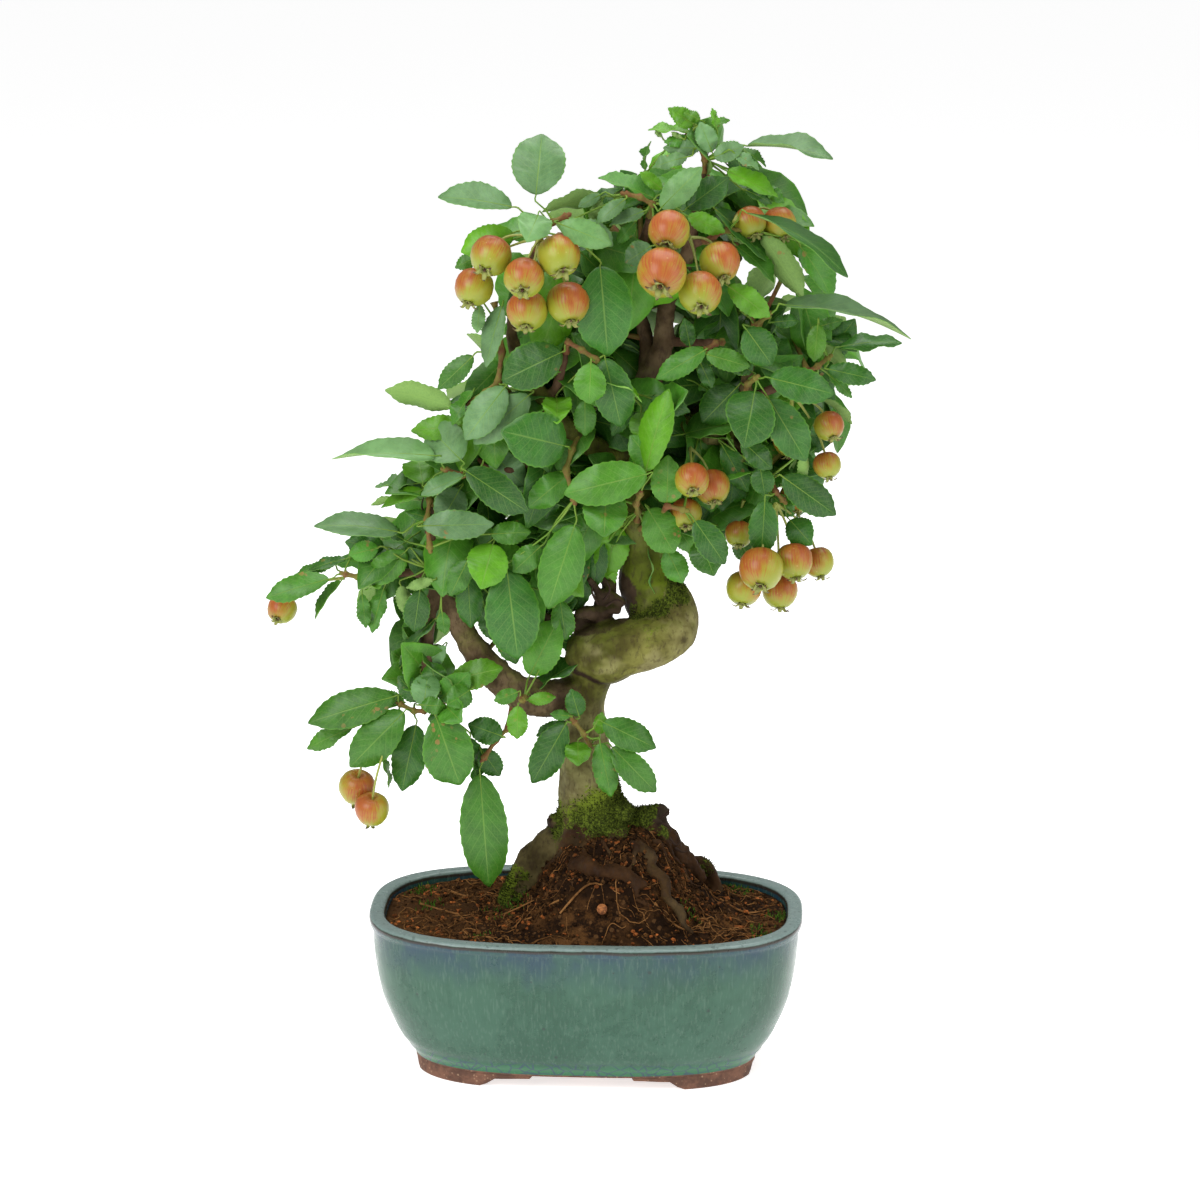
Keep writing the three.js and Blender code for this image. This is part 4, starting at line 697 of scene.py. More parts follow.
def specks():
    """Scattered round specks of mixed sizes."""

    def fill(nodes, given):
        cells = nodes.add("TexVoronoi", {"Vector": given["Place"], "Scale": given["Scale"]})
        size = nodes.math("POWER", nodes.split(cells.outputs["Color"])[0], 4.0)
        reach = nodes.times(size, given["Size"])
        inside = nodes.minus(reach, cells.outputs["Distance"])
        return (nodes.span(inside, 0.0, 0.06),)

    inputs = (("Place", "Vector"), ("Scale", "Float"), ("Size", "Float"))
    return effect_group("Specks", inputs, (("Mask", "Float"),), fill)


def mottle():
    """Cloudy change between two colours, coarse and fine at once."""

    def fill(nodes, given):
        coarse = nodes.noise(given["Place"], given["Scale"], 2.0)
        finer = nodes.times(given["Scale"], 6.0)
        fine = nodes.noise(given["Place"], finer, 4.0, 0.65)
        both = nodes.plus(coarse, nodes.times(fine, 0.7))
        share = nodes.span(both, 0.68, 1.02)
        return nodes.mix(share, given["First"], given["Second"]), share

    inputs = (("Place", "Vector"), ("Scale", "Float"), ("First", "Color"), ("Second", "Color"))
    return effect_group("Mottle", inputs, (("Color", "Color"), ("Share", "Float")), fill)


def finish(name, paint=None, given=(), **uniform):
    """A material with uniform values, whose pattern sockets come from paint(nodes, *given)."""
    material = bpy.data.materials.new(name)
    material.use_nodes = True
    nodes = Nodes(material.node_tree)
    shader = material.node_tree.nodes["Principled BSDF"]
    for label, value in uniform.items():
        nodes.give(shader.inputs[label.replace("_", " ")], value)
    if paint:
        for label, socket in paint(nodes, *given).items():
            nodes.give(shader.inputs[label], socket)
    return material


# ---- Settings that a user may change ----
def colour(name, description, red, green, blue):
    """A colour setting whose default is given in display values."""
    return bpy.props.FloatVectorProperty(
        name=name, description=description, subtype="COLOR", size=3, min=0, max=1,
        default=linear(red, green, blue),
    )


def length(name, description, millimetres):
    """A length setting whose default is given in millimetres."""
    return bpy.props.FloatProperty(
        name=name, description=description, unit="LENGTH", precision=5, default=millimetres * MM
    )


def share(name, description, value):
    """A setting between nothing and all."""
    return bpy.props.FloatProperty(
        name=name, description=description, subtype="FACTOR", min=0, max=1, default=value
    )


def number(name, description, value):
    """A count of small things."""
    return bpy.props.IntProperty(name=name, description=description, min=0, default=value)


class PotSettings(bpy.types.PropertyGroup):
    glaze: colour("Glaze", "Main glaze on the wall", 36, 78, 58)
    glaze_light: colour("Light glaze", "Glaze where it has run thin", 62, 102, 82)
    glaze_blue: colour("Blue glaze", "Glaze pooled under the rim", 34, 62, 80)
    glaze_foot: colour("Foot glaze", "Thick green glaze round the foot", 44, 106, 70)
    lip: colour("Lip", "Bare brown line at the rim's outer edge", 50, 32, 26)
    clay: colour("Clay", "Fired clay of the feet", 124, 84, 64)
    clay_dark: colour("Dark clay", "Darker clay in the mottle", 86, 56, 42)
    rim_round: length("Rim rounding", "Radius of the rim's edges", 2.2)


class SoilSettings(bpy.types.PropertyGroup):
    soil: colour("Soil", "Damp peat", 31, 18, 8)
    soil_light: colour("Dry soil", "Peat that has dried", 96, 64, 34)
    chip: colour("Bark chips", "Chips of orange bark", 176, 102, 52)
    fibre: colour("Fibres", "Pale rootlets in the peat", 148, 104, 60)
    sprout: colour("Sprouts", "Weed seedlings and moss on the soil", 96, 140, 42)
    crumbs: number("Crumbs", "Loose crumbs on the surface", 8400)
    chips: number("Chips", "Loose bark chips", 340)
    fibres: number("Fibres", "Loose rootlets", 260)


class WoodSettings(bpy.types.PropertyGroup):
    column: colour("Column", "Bark of the lower trunk", 142, 137, 88)
    bend: colour("Bend", "Bark of the trunk's great bend", 124, 122, 62)
    # upper is partly algae and partly painted shade on the upper trunk; it also tints the mossy limbs and
    # the bend's left end.
    upper: colour("Upper trunk", "Bark above the bend, algae-dark with painted shade", 84, 92, 30)
    branch: colour("Branch", "Bark of the branches", 116, 98, 72)
    twig: colour("Twig", "Young bark", 104, 78, 60)
    dead: colour("Dead wood", "Old stubs and cracks", 54, 40, 32)
    root: colour("Root", "Roots above the soil", 66, 43, 22)
    moss: colour("Moss", "Moss on the base", 92, 106, 34)
    lichen: colour("Algae", "Green film on the bark", 98, 114, 26)
    voxel: length("Skin detail", "Voxel size of the grown skin", 1.25)
    tufts: number("Moss tufts", "Tufts standing on the mossy bark", 4200)


class LeafSettings(bpy.types.PropertyGroup):
    # sun and shade are painted light and painted shade on the upper face, sun with a painted bluish sheen;
    # young is partly painted light shining through the blade.
    sun: colour("Sunlit blade", "Bluish upper face in full light", 106, 146, 96)
    plain: colour("Plain blade", "Upper face", 69, 129, 33)
    shade: colour("Shaded blade", "Upper face in the crown's shade", 46, 100, 26)
    young: colour("Young blade", "Thin bright young leaf, partly painted light through it", 96, 160, 22)
    under: colour("Underside", "Pale underside", 138, 164, 96)
    rib: colour("Midrib", "Midrib and veins", 150, 186, 92)
    stalk: colour("Petiole", "Petioles and green twigs", 118, 146, 52)
    spur: colour("Spur", "Reddish spur bark", 118, 76, 50)
    rust: colour("Rust", "Rusty spots on a blade", 150, 112, 62)
    thickness: length("Blade thickness", "Thickness of a blade", 0.28)
    fold: share("Fold", "How far a blade's halves fold up", 0.32)


class FruitSettings(bpy.types.PropertyGroup):
    ground: colour("Ground colour", "Yellow-green skin", 152, 152, 42)
    pale: colour("Calyx end", "Greenest skin, by the calyx", 140, 150, 48)
    blush: colour("Blush", "Red-orange side", 166, 88, 38)
    deep_blush: colour("Streaks", "Darker red streaks in the blush", 148, 64, 34)
    stalk: colour("Stalk", "Fruit stalks", 150, 158, 78)
    sepal: colour("Sepals", "Green calyx", 142, 148, 78)


class StageSettings(bpy.types.PropertyGroup):
    floor: colour("Floor", "Plain pale floor", 246, 246, 246)
    glow: bpy.props.FloatProperty(name="Glow", description="Light that the floor gives off", default=0.68)
    light: bpy.props.FloatProperty(name="Dome", description="Strength of the white dome", default=0.31)
    key: bpy.props.FloatProperty(name="Key", description="Main soft light", unit="POWER", default=12.5)
    fill: bpy.props.FloatProperty(name="Fill", description="Second soft light", unit="POWER", default=4.5)
    crown: bpy.props.FloatProperty(name="Top", description="Light from above", unit="POWER", default=13)


# ---- Pot ----
WALL_PROFILE = ((0, 0), (0.09, 0.14), (0.16, 0.31), (0.27, 0.49), (0.44, 0.71), (0.68, 0.86), (0.91, 0.92))
FLOOR_TOP = 16.5
# Rings below the rim and inside the pot, as (height, rise of the flare, inset).
LIP_RINGS = ((77.4, 0.925, 0), (78.1, 0.985, 0))
INNER_RINGS = ((41, 0.72, WALL), (FLOOR_TOP + 3, 0.36, WALL + 1), (FLOOR_TOP, 0.25, WALL + 5))
RIM_STEPS = 8
POT_SIDES = 160
WALL_SPANS = 5
FOOT_TOP = FOOT_HEIGHT + 0.8
FOOT_INSET = 1.5
FOOT_WIDTH = 13
FOOT_SPANS = 24
FOOT_ARC = (6, 80)  # degrees round a corner, from the short side to the long side
FOOT_UNDERSIDE = ((6, 4.6), (13, 4.4), (17, 0), (63, 0), (67, 4.4), (80, 5.4))
FOOT_STEP = 1.1  # how far the foot's band stands back from the wall
FOOT_STEP_AT = 0.055
FOOT_CORNER = 0.7  # radians between faces from which an edge of a foot is rounded
FOOT_BEVEL = 0.7
MESH_PITCH = 1.8


def oval_at(rise, inset=0.0):
    """Half length and half depth of the pot, between its base and its rim."""
    return (
        BASE_HALF_LENGTH + (RIM_HALF_LENGTH - BASE_HALF_LENGTH) * rise - inset,
        BASE_HALF_DEPTH + (RIM_HALF_DEPTH - BASE_HALF_DEPTH) * rise - inset,
    )


def ring_shell(rings, sides, place):
    """A closed shell of rings of points, place(ring, angle) in mm round the pot's middle."""
    shape = bmesh.new()
    turn = shape.verts.layers.float.new("turn")
    ring = bmesh.ops.create_circle(shape, cap_ends=True, radius=1, segments=sides)["verts"]
    for vert in ring:
        vert[turn] = math.atan2(vert.co.y, vert.co.x)
    edges = shape.edges[:]
    for k in range(rings):
        if k > 0:
            grown = bmesh.ops.extrude_edge_only(shape, edges=edges)["geom"]
            ring = [item for item in grown if isinstance(item, bmesh.types.BMVert)]
            edges = [item for item in grown if isinstance(item, bmesh.types.BMEdge)]
            edges = [edge for edge in edges if all(vert in ring for vert in edge.verts)]
        for vert in ring:
            vert.co = POT_MIDDLE + Vector(place(k, vert[turn])) * MM
    bmesh.ops.contextual_create(shape, geom=edges)
    bmesh.ops.recalc_face_normals(shape, faces=shape.faces)
    return shape


def pot_levels(rounding):
    """Height, half length and half depth of each ring, from the base up the wall and down inside."""
    knots = [Vector((height, rise, 0)) for height, rise in WALL_PROFILE]
    path, _ = smooth_path(knots, [0] * len(knots), WALL_SPANS)
    levels = [(FOOT_HEIGHT, *oval_at(0, FOOT_STEP + 2))]
    for point in path:
        inset = FOOT_STEP * (1 - ease(FOOT_STEP_AT - 0.01, FOOT_STEP_AT + 0.006, point.x))
        levels.append((FOOT_HEIGHT + (POT_HEIGHT - FOOT_HEIGHT) * point.x, *oval_at(point.y, inset)))
    levels += [(height, *oval_at(rise, inset)) for height, rise, inset in LIP_RINGS]
    for middle, first in ((rounding, 0), (WALL - rounding, RIM_STEPS // 2)):
        for step in range(first, first + RIM_STEPS // 2 + 1):
            angle = math.pi * step / RIM_STEPS
            inset = middle - math.cos(angle) * rounding
            levels.append((POT_HEIGHT - rounding + math.sin(angle) * rounding, *oval_at(1, inset)))
    return levels + [(height, *oval_at(rise, inset)) for height, rise, inset in INNER_RINGS]


def glaze_paint(nodes, pot):
    """Streaked green-blue glaze: a blue band under the rim, a brown lip, a crackled foot."""
    place = nodes.place()
    height = nodes.split(place)[2]
    cloud = nodes.mottled(place, 22.0, pot.glaze, pot.glaze_light)
    colour_now = nodes.mix(nodes.times(cloud["Share"], 0.5), pot.glaze, cloud["Color"])
    streaks = nodes.noise(nodes.stretched(place, (1.0, 1.0, 0.05)), 420.0, 3.0, 0.6)
    streaked = nodes.span(streaks, 0.35, 0.72)
    colour_now = nodes.mix(nodes.times(streaked, 0.28), colour_now, pot.glaze_light)
    runs = nodes.noise(nodes.stretched(place, (1.0, 1.0, 0.45)), 52.0, 5.0, 0.68)
    reach = nodes.times(nodes.minus(runs, 0.5), 30 * MM)
    blue = nodes.span(nodes.plus(height, reach), 0.056, 0.08)
    patches = nodes.span(nodes.noise(nodes.stretched(place, (1.0, 1.0, 0.6)), 60.0, 4.0, 0.65), 0.3, 0.66)
    blue = nodes.times(blue, nodes.span(patches, 0.0, 1.0, 0.45, 1.0))
    blue = nodes.times(blue, nodes.span(height, 0.0815, 0.0795))
    colour_now = nodes.mix(nodes.times(blue, 0.92), colour_now, pot.glaze_blue)
    flow = nodes.noise(nodes.stretched(place, (1.0, 1.0, 0.16)), 900.0, 2.0, 0.5)
    flow_at = nodes.times(nodes.span(flow, 0.5, 0.72), 0.24)
    colour_now = nodes.mix(flow_at, colour_now, linear(104, 130, 114))
    low_band = nodes.span(nodes.plus(height, nodes.times(reach, 0.25)), 0.0165, 0.0115)
    colour_now = nodes.mix(low_band, colour_now, pot.glaze_foot)
    crackle = nodes.cracks(nodes.stretched(place, (1, 1, 1.6)), 150.0)
    line = nodes.times(nodes.span(crackle, 0.09, 0.02), nodes.span(height, 0.0185, 0.0135))
    colour_now = nodes.mix(nodes.times(line, 0.75), colour_now, linear(44, 62, 88))
    pins = nodes.specked(place, 170.0, 0.2)
    colour_now = nodes.mix(nodes.times(pins, 0.6), colour_now, linear(40, 50, 48))
    # Painted highlight: the rim's top is painted paler, partly its blue-grey glaze and partly a painted
    # highlight where it catches the light.
    rim = nodes.span(height, 0.0806, 0.0818)
    grit = nodes.specked(place, 420.0, 0.5)
    rim_glaze_and_highlight = nodes.mix(nodes.times(grit, 0.5), linear(118, 138, 134), linear(62, 76, 76))
    rim_glaze_and_highlight = nodes.mix(nodes.times(streaked, 0.3), rim_glaze_and_highlight, linear(150, 166, 160))
    colour_now = nodes.mix(rim, colour_now, rim_glaze_and_highlight)
    wander = nodes.times(nodes.minus(runs, 0.5), 2.4 * MM)
    lip_at = nodes.plus(height, wander)
    lip = nodes.times(nodes.span(lip_at, 0.0792, 0.0801), nodes.span(lip_at, 0.0816, 0.0809))
    colour_now = nodes.mix(nodes.times(lip, 0.8), colour_now, pot.lip)
    rough = nodes.span(cloud["Share"], 0.0, 1.0, 0.2, 0.34)
    relief = nodes.plus(nodes.times(streaks, 0.6), cloud["Share"])
    relief = nodes.minus(relief, nodes.times(pins, 0.8))
    return {"Base Color": colour_now, "Roughness": rough, "Normal": nodes.bump(relief, 0.18, 0.35)}


def clay_paint(nodes, pot):
    """Brown fired clay with darker burns and grog."""
    place = nodes.place()
    cloud = nodes.mottled(place, 70.0, pot.clay_dark, pot.clay)
    grog = nodes.specked(place, 700.0, 0.5)
    spotted = nodes.mix(nodes.times(grog, 0.6), cloud["Color"], linear(176, 142, 112))
    grain = nodes.noise(place, 900.0, 3.0)
    return {"Base Color": spotted, "Normal": nodes.bump(grain, 0.35, 0.3)}


def foot_underside(degrees):
    """Height of a foot's underside, round a corner."""
    for (low, low_z), (high, high_z) in zip(FOOT_UNDERSIDE, FOOT_UNDERSIDE[1:]):
        if degrees <= high:
            return low_z + (high_z - low_z) * ease(low, high, degrees)
    return FOOT_UNDERSIDE[-1][1]


def add_foot(shape, side_x, side_y):
    """One corner foot: a curved bar whose middle stands on the floor."""
    grid = bmesh.ops.create_grid(shape, x_segments=FOOT_SPANS, y_segments=3, size=0.5)["verts"]
    faces = list(dict.fromkeys(face for vert in grid for face in vert.link_faces))
    for vert in grid:
        degrees = FOOT_ARC[0] + (FOOT_ARC[1] - FOOT_ARC[0]) * (vert.co.x + 0.5)
        inset = FOOT_INSET + (FOOT_WIDTH - FOOT_INSET) * (vert.co.y + 0.5)
        x, y = on_oval(*oval_at(0, inset), math.radians(degrees))
        vert.co = POT_MIDDLE + Vector((side_x * x, side_y * y, foot_underside(degrees))) * MM
    top = bmesh.ops.extrude_face_region(shape, geom=faces)["geom"]
    for vert in top:
        if isinstance(vert, bmesh.types.BMVert):
            vert.co.z = FOOT_TOP * MM


def make_pot(pot):
    """The glazed body, with its drain holes, and the four bare feet."""
    levels = pot_levels(pot.rim_round / MM)

    def place(k, angle):
        height, half_length, half_depth = levels[k]
        return (*on_oval(half_length, half_depth, angle), height)

    body = drilled(mesh_of(ring_shell(len(levels), POT_SIDES, place), "pot_body"))
    shine = {"Coat_Weight": 0.2, "Coat_Roughness": 0.1, "Specular_IOR_Level": 0.35}
    glaze = finish("Streaked glaze", glaze_paint, (pot,), **shine)
    clay = finish("Bare clay", clay_paint, (pot,), Roughness=0.78)
    make_piece("pot_body", body, (glaze, clay), ("pot",))
    for face in body.polygons:
        bare = face.center.z < (FOOT_HEIGHT + 0.5) * MM or inside_hole(face.center)
        face.material_index = int(bare)
    shape = bmesh.new()
    for side_x in (-1, 1):
        for side_y in (-1, 1):
            add_foot(shape, side_x, side_y)
    bmesh.ops.recalc_face_normals(shape, faces=shape.faces)
    corners = [edge for edge in shape.edges if edge.calc_face_angle(0) > FOOT_CORNER]
    bmesh.ops.bevel(
        shape, geom=corners, offset=FOOT_BEVEL * MM, offset_type="OFFSET", affect="EDGES", segments=2,
        profile=0.5, material=-1, clamp_overlap=True,
    )
    make_piece("pot_feet", mesh_of(shape, "pot_feet"), (clay,), ("pot",))


def inside_hole(place):
    """Whether a point lies on the wall of a drain hole."""
    gaps = [
        math.hypot(place.x - POT_MIDDLE.x - side * DRAIN_SPACING / 2 * MM, place.y - POT_MIDDLE.y)
        for side in (-1, 1)
    ]
    return min(gaps) < (DRAIN_RADIUS + 0.5) * MM and place.z < FLOOR_TOP * MM


def drilled(mesh):
    """The pot's mesh with its two drain holes cut."""
    drills = bmesh.new()
    for side in (-1, 1):
        middle = POT_MIDDLE + Vector((side * DRAIN_SPACING / 2, 0, FLOOR_TOP / 2 + 4)) * MM
        bmesh.ops.create_cone(
            drills, cap_ends=True, segments=32, radius1=DRAIN_RADIUS * MM, radius2=DRAIN_RADIUS * MM,
            depth=FLOOR_TOP * MM, matrix=Matrix.Translation(middle),
        )
    cutter = bpy.data.objects.new("drill", mesh_of(drills, "drill"))
    bpy.context.scene.collection.objects.link(cutter)
    body = modified(mesh, "BOOLEAN", operation="DIFFERENCE", solver="EXACT", object=cutter)
    bpy.data.objects.remove(cutter)
    return body


class BONSAI_OT_pot(bpy.types.Operator):
    """Build the glazed pot and its clay feet"""

    bl_idname = "bonsai.pot"
    bl_label = "Pot"

    def execute(self, context):
        make_pot(context.scene.bonsai_pot)
        return {"FINISHED"}


def weave_paint(nodes):
    """Dark plastic threads, woven square."""
    across, along, _ = nodes.split(nodes.place())
    turns = math.tau / (MESH_PITCH * MM)
    ridge = nodes.math("MAXIMUM", *(nodes.math("SINE", nodes.times(way, turns)) for way in (across, along)))
    thread = nodes.mix(nodes.span(ridge, -0.2, 0.9), linear(12, 14, 13), linear(52, 58, 54))
    return {"Base Color": thread, "Normal": nodes.bump(ridge, 0.8, 0.5)}


class BONSAI_OT_drain_meshes(bpy.types.Operator):
    """Finish the plastic meshes over the drain holes"""

    bl_idname = "bonsai.drain_meshes"
    bl_label = "Drain meshes"

    def execute(self, context):
        weave = finish("Drain mesh", weave_paint, Roughness=0.62)
        for name in ("drain_mesh_left", "drain_mesh_right"):
            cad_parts[name].data.materials.clear()
            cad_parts[name].data.materials.append(weave)
        return {"FINISHED"}


# ---- Soil ----
MOUND_PROFILE = (  # height over the soil's level by distance from the mound's middle, in mm
    (0, 48), (20, 45), (27, 39), (36, 27), (45, 14.5), (55, 5), (70, 1), (200, 0),
)
MOUND_STEEPER = 1.13  # how much sooner the mound falls on its left
SOIL_RINGS = 64
SOIL_SIDES = 200
SOIL_GAP = 0.15
SOIL_RISE = 0.985  # how far up the pot's flare the soil's edge lies
SOIL_BOTTOM = 58
SOIL_ROUGHNESS = ((0.09, 2.2), (0.3, 1.6))  # bumps as (per mm, height in mm)
CRUMB_ROUGHNESS = (0.75, 1.8)
BATCH = 80
DULL = {"Roughness": 0.95, "Specular_IOR_Level": 0.1}
# Least, most and usual sizes, in mm.
CRUMB_RADIUS = (0.3, 1.9, 0.5)
CHIP_LENGTH = (0.9, 5.5, 1.4)
CHIP_WIDTH = (0.7, 2.2)
CHIP_HEIGHT = (0.4, 1.1)
BARK_CRUMBS = 0.1  # share of the crumbs that are bark
# Half of the crumbs and chips lie within these shares of the bed's area, round the trunk.
NEAR_CRUMBS = 0.35
NEAR_CHIPS = 0.4
RAISED = (4, 22)  # mm above the soil's level over which the crumbs turn damper
DRY_LEFT = (-20, -60)  # mm from the pot's middle over which they turn drier
FIBRE_KNOTS = (4, 9)
FIBRE_STEP = (1.5, 3.4)
FIBRE_RADIUS = (0.09, 0.26)
ROOTLET_RADIUS = 0.55
SPROUT_HEIGHT = (1.2, 3.2)
# Long pale rootlets on the soil, and mossy spots with their number of tufts and spread in mm.
ROOTLETS = (
    ((505, 926, -18), (530, 922, -22), (560, 921, -26), (600, 938, -34)),
    ((633, 916, -20), (655, 930, -30), (678, 938, -36), (704, 940, -38)),
    ((420, 905, 10), (452, 915, 0), (490, 919, -8), (540, 912, -14)),
    ((448, 884, 30), (470, 892, 22), (500, 890, 20)),
    ((720, 905, 5), (745, 912, -2), (770, 905, 4)),
    ((560, 935, -34), (590, 925, -30), (620, 932, -34)),
)
MOSS_PATCHES = (
    (420, 880, 34, 60, 5), (430, 900, 10, 40, 4), (510, 905, -4, 120, 5), (735, 880, 34, 70, 6),
    (778, 915, -6, 50, 4), (762, 938, -30, 50, 4), (690, 925, -24, 30, 3), (480, 932, -34, 24, 3),
)


def way_out(x, y, half_length, half_depth):
    """How far out a place lies, as a share of the way to an oval of the pot's kind."""
    powers = abs(x / half_length) ** CORNER_POWER + abs(y / half_depth) ** CORNER_POWER
    return powers ** (1 / CORNER_POWER)


def soil_height(x, y):
    """Height of the crumbly soil at a place in the pot, all in mm."""
    aside = x - MOUND_MIDDLE[0]
    away = math.hypot(aside * (MOUND_STEEPER if aside < 0 else 1), y - MOUND_MIDDLE[1])
    lift = 0
    for (low, low_lift), (high, high_lift) in zip(MOUND_PROFILE, MOUND_PROFILE[1:]):
        if low <= away < high:
            lift = low_lift + (high_lift - low_lift) * ease(low, high, away)
    spot = Vector((x, y, 0))
    rough = sum(noise.noise(spot * scale) * height for scale, height in SOIL_ROUGHNESS)
    rough += abs(noise.noise(spot * CRUMB_ROUGHNESS[0])) * CRUMB_ROUGHNESS[1]
    at_wall = ease(0.82, 1, way_out(x, y, RIM_HALF_LENGTH - WALL, RIM_HALF_DEPTH - WALL))
    return SOIL_LEVEL + (lift + rough) * (1 - at_wall * 0.8)


def soil_point(part, angle):
    """A point on top of the soil, that part of the way out to the wall, in mm."""
    x, y = (value * part for value in on_oval(*oval_at(SOIL_RISE, WALL + SOIL_GAP), angle))
    x += MOUND_MIDDLE[0] * (1 - part)
    y += MOUND_MIDDLE[1] * (1 - part)
    return x, y, soil_height(x, y)


def on_soil(place, lift):
    """The place moved onto the soil, lifted by so many mm, and kept inside the pot."""
    x, y = ((place[axis] - POT_MIDDLE[axis]) / MM for axis in (0, 1))
    part = max(way_out(x, y, *oval_at(SOIL_RISE, WALL + 1.5)), 1)
    x, y = x / part, y / part
    return POT_MIDDLE + Vector((x, y, soil_height(x, y) + lift)) * MM


def scattered(name, items, build, material):
    """A piece of many small shapes, each with its own tint. build(shape, item, tint) adds each."""
    total = bmesh.new()
    held = bpy.data.meshes.new("batch")
    for start in range(0, len(items), BATCH):
        shape = bmesh.new()
        tint = shape.verts.layers.float_color.new("tint")
        for item in items[start : start + BATCH]:
            build(shape, item, tint)
        shape.to_mesh(held)
        shape.free()
        total.from_mesh(held)
    bpy.data.meshes.remove(held)
    make_piece(name, mesh_of(total, name, False), (material,))


def tinted(verts, layer, first, second, chance):
    """Gives the points of one small shape a colour between two."""
    part = chance.random()
    gain = chance.uniform(0.75, 1.2)
    tint = [min(value * gain, 1.0) for value in mixed(first, second, part)]
    for vert in verts:
        vert[layer] = (*tint, 1)


def spike(shape, foot, lean, height, wide, narrow):
    """A three-sided spike that stands on a foot. Gives its points."""
    return bmesh.ops.create_cone(
        shape, cap_ends=True, segments=3, radius1=wide * MM, radius2=narrow * MM, depth=height,
        matrix=Matrix.Translation(foot) @ lean.to_track_quat("Z", "Y").to_matrix().to_4x4(),
    )["verts"]


def soil_paint(nodes, soil):
    """Damp peat with drier flecks, drier towards the left."""
    place = nodes.place()
    cloud = nodes.mottled(place, 160.0, soil.soil, soil.soil_light)
    damp = nodes.mix(nodes.span(nodes.noise(place, 30.0), 0.32, 0.56), cloud["Color"], soil.soil)
    flecks = nodes.specked(place, 380.0, 0.6)
    flecked = nodes.mix(nodes.times(flecks, 0.4), damp, linear(118, 84, 52))
    dry_at = nodes.times(nodes.span(nodes.split(place)[0], -0.03, -0.075), 0.45)
    flecked = nodes.mix(dry_at, flecked, soil.soil_light)
    grain = nodes.noise(place, 700.0, 5.0, 0.7)
    return {"Base Color": flecked, "Normal": nodes.bump(grain, 0.8, 1.0)}


def tint_paint(nodes, grain_scale, strength):
    """The tint that each small shape was given, with a fine grain."""
    grain = nodes.noise(nodes.place(), grain_scale, 4.0, 0.65)
    shade = nodes.mix(nodes.span(grain, 0.3, 0.7), linear(150, 150, 150), linear(255, 255, 255))
    painted = nodes.mix(1.0, nodes.attribute("tint", "Color"), shade, "MULTIPLY")
    return {"Base Color": painted, "Normal": nodes.bump(grain, strength, 0.4)}


def fibre_paint(nodes, soil):
    """Rootlets, clouded between dry soil and pale fibre."""
    return {"Base Color": nodes.mottled(nodes.place(), 90.0, soil.soil_light, soil.fibre)["Color"]}


def make_soil_bed(soil):
    """The body of soil, rough on top and mounded to the trunk."""

    def place(k, angle):
        if k == 0:
            return (*on_oval(*oval_at(0.85, WALL + 1), angle), SOIL_BOTTOM)
        return soil_point(max(1 - (k - 1) / (SOIL_RINGS - 2), 0.004), angle)

    bed = mesh_of(ring_shell(SOIL_RINGS, SOIL_SIDES, place), "soil_bed")
    make_piece("soil_bed", bed, (finish("Peat", soil_paint, (soil,), **DULL),), ("soil",))


def make_litter(soil, chance):
    """Loose crumbs and bark chips on the soil."""

    def spots(count, near):
        found = []
        for _ in range(count):
            part = math.sqrt(chance.uniform(0, chance.choice((near, 1.0)))) * 0.985
            place = soil_point(part, chance.uniform(-math.pi, math.pi))
            found.append(POT_MIDDLE + Vector(place) * MM)
        return found

    def crumb(shape, place, tint):
        size = chance.triangular(*CRUMB_RADIUS) * MM
        turned = Matrix.Rotation(chance.uniform(0, 6), 4, Vector((chance.random(), chance.random(), 1)))
        made = bmesh.ops.create_icosphere(shape, subdivisions=1, radius=size)["verts"]
        for vert in made:
            squashed = vert.co * chance.uniform(0.75, 1.2)
            squashed.z *= 0.7
            vert.co = place + turned @ squashed
        dry = soil.chip if chance.random() < BARK_CRUMBS else soil.soil_light
        raised = ease(*RAISED, place.z / MM - SOIL_LEVEL)
        left = ease(*DRY_LEFT, (place - POT_MIDDLE).x / MM)
        gain = 1.35 - 0.5 * raised + 0.55 * left
        tinted(made, tint, *([value * gain for value in shade] for shade in (soil.soil, dry)), chance)

    def chip(shape, place, tint):
        turned = Matrix.Rotation(chance.uniform(0, math.tau), 4, "Z")
        turned = turned @ Matrix.Rotation(chance.uniform(-0.7, 0.7), 4, "X")
        size = (chance.triangular(*CHIP_LENGTH), chance.uniform(*CHIP_WIDTH), chance.uniform(*CHIP_HEIGHT))
        made = bmesh.ops.create_cube(shape, size=1)["verts"]
        for vert in made:
            corner = Vector(value * part for value, part in zip(vert.co, Vector(size) * MM))
            vert.co = place + turned @ (corner * chance.uniform(0.7, 1.15))
        tinted(made, tint, soil.chip, soil.soil_light, chance)

    crumbs = spots(soil.crumbs, NEAR_CRUMBS)
    peaty = finish("Crumbs", tint_paint, (900.0, 0.6), Roughness=0.95, Specular_IOR_Level=0.08)
    scattered("soil_crumbs", crumbs, crumb, peaty)
    chips = spots(soil.chips, NEAR_CHIPS)
    woody = finish("Bark chips", tint_paint, (500.0, 0.5), Roughness=0.9, Specular_IOR_Level=0.1)
    scattered("soil_chips", chips, chip, woody)


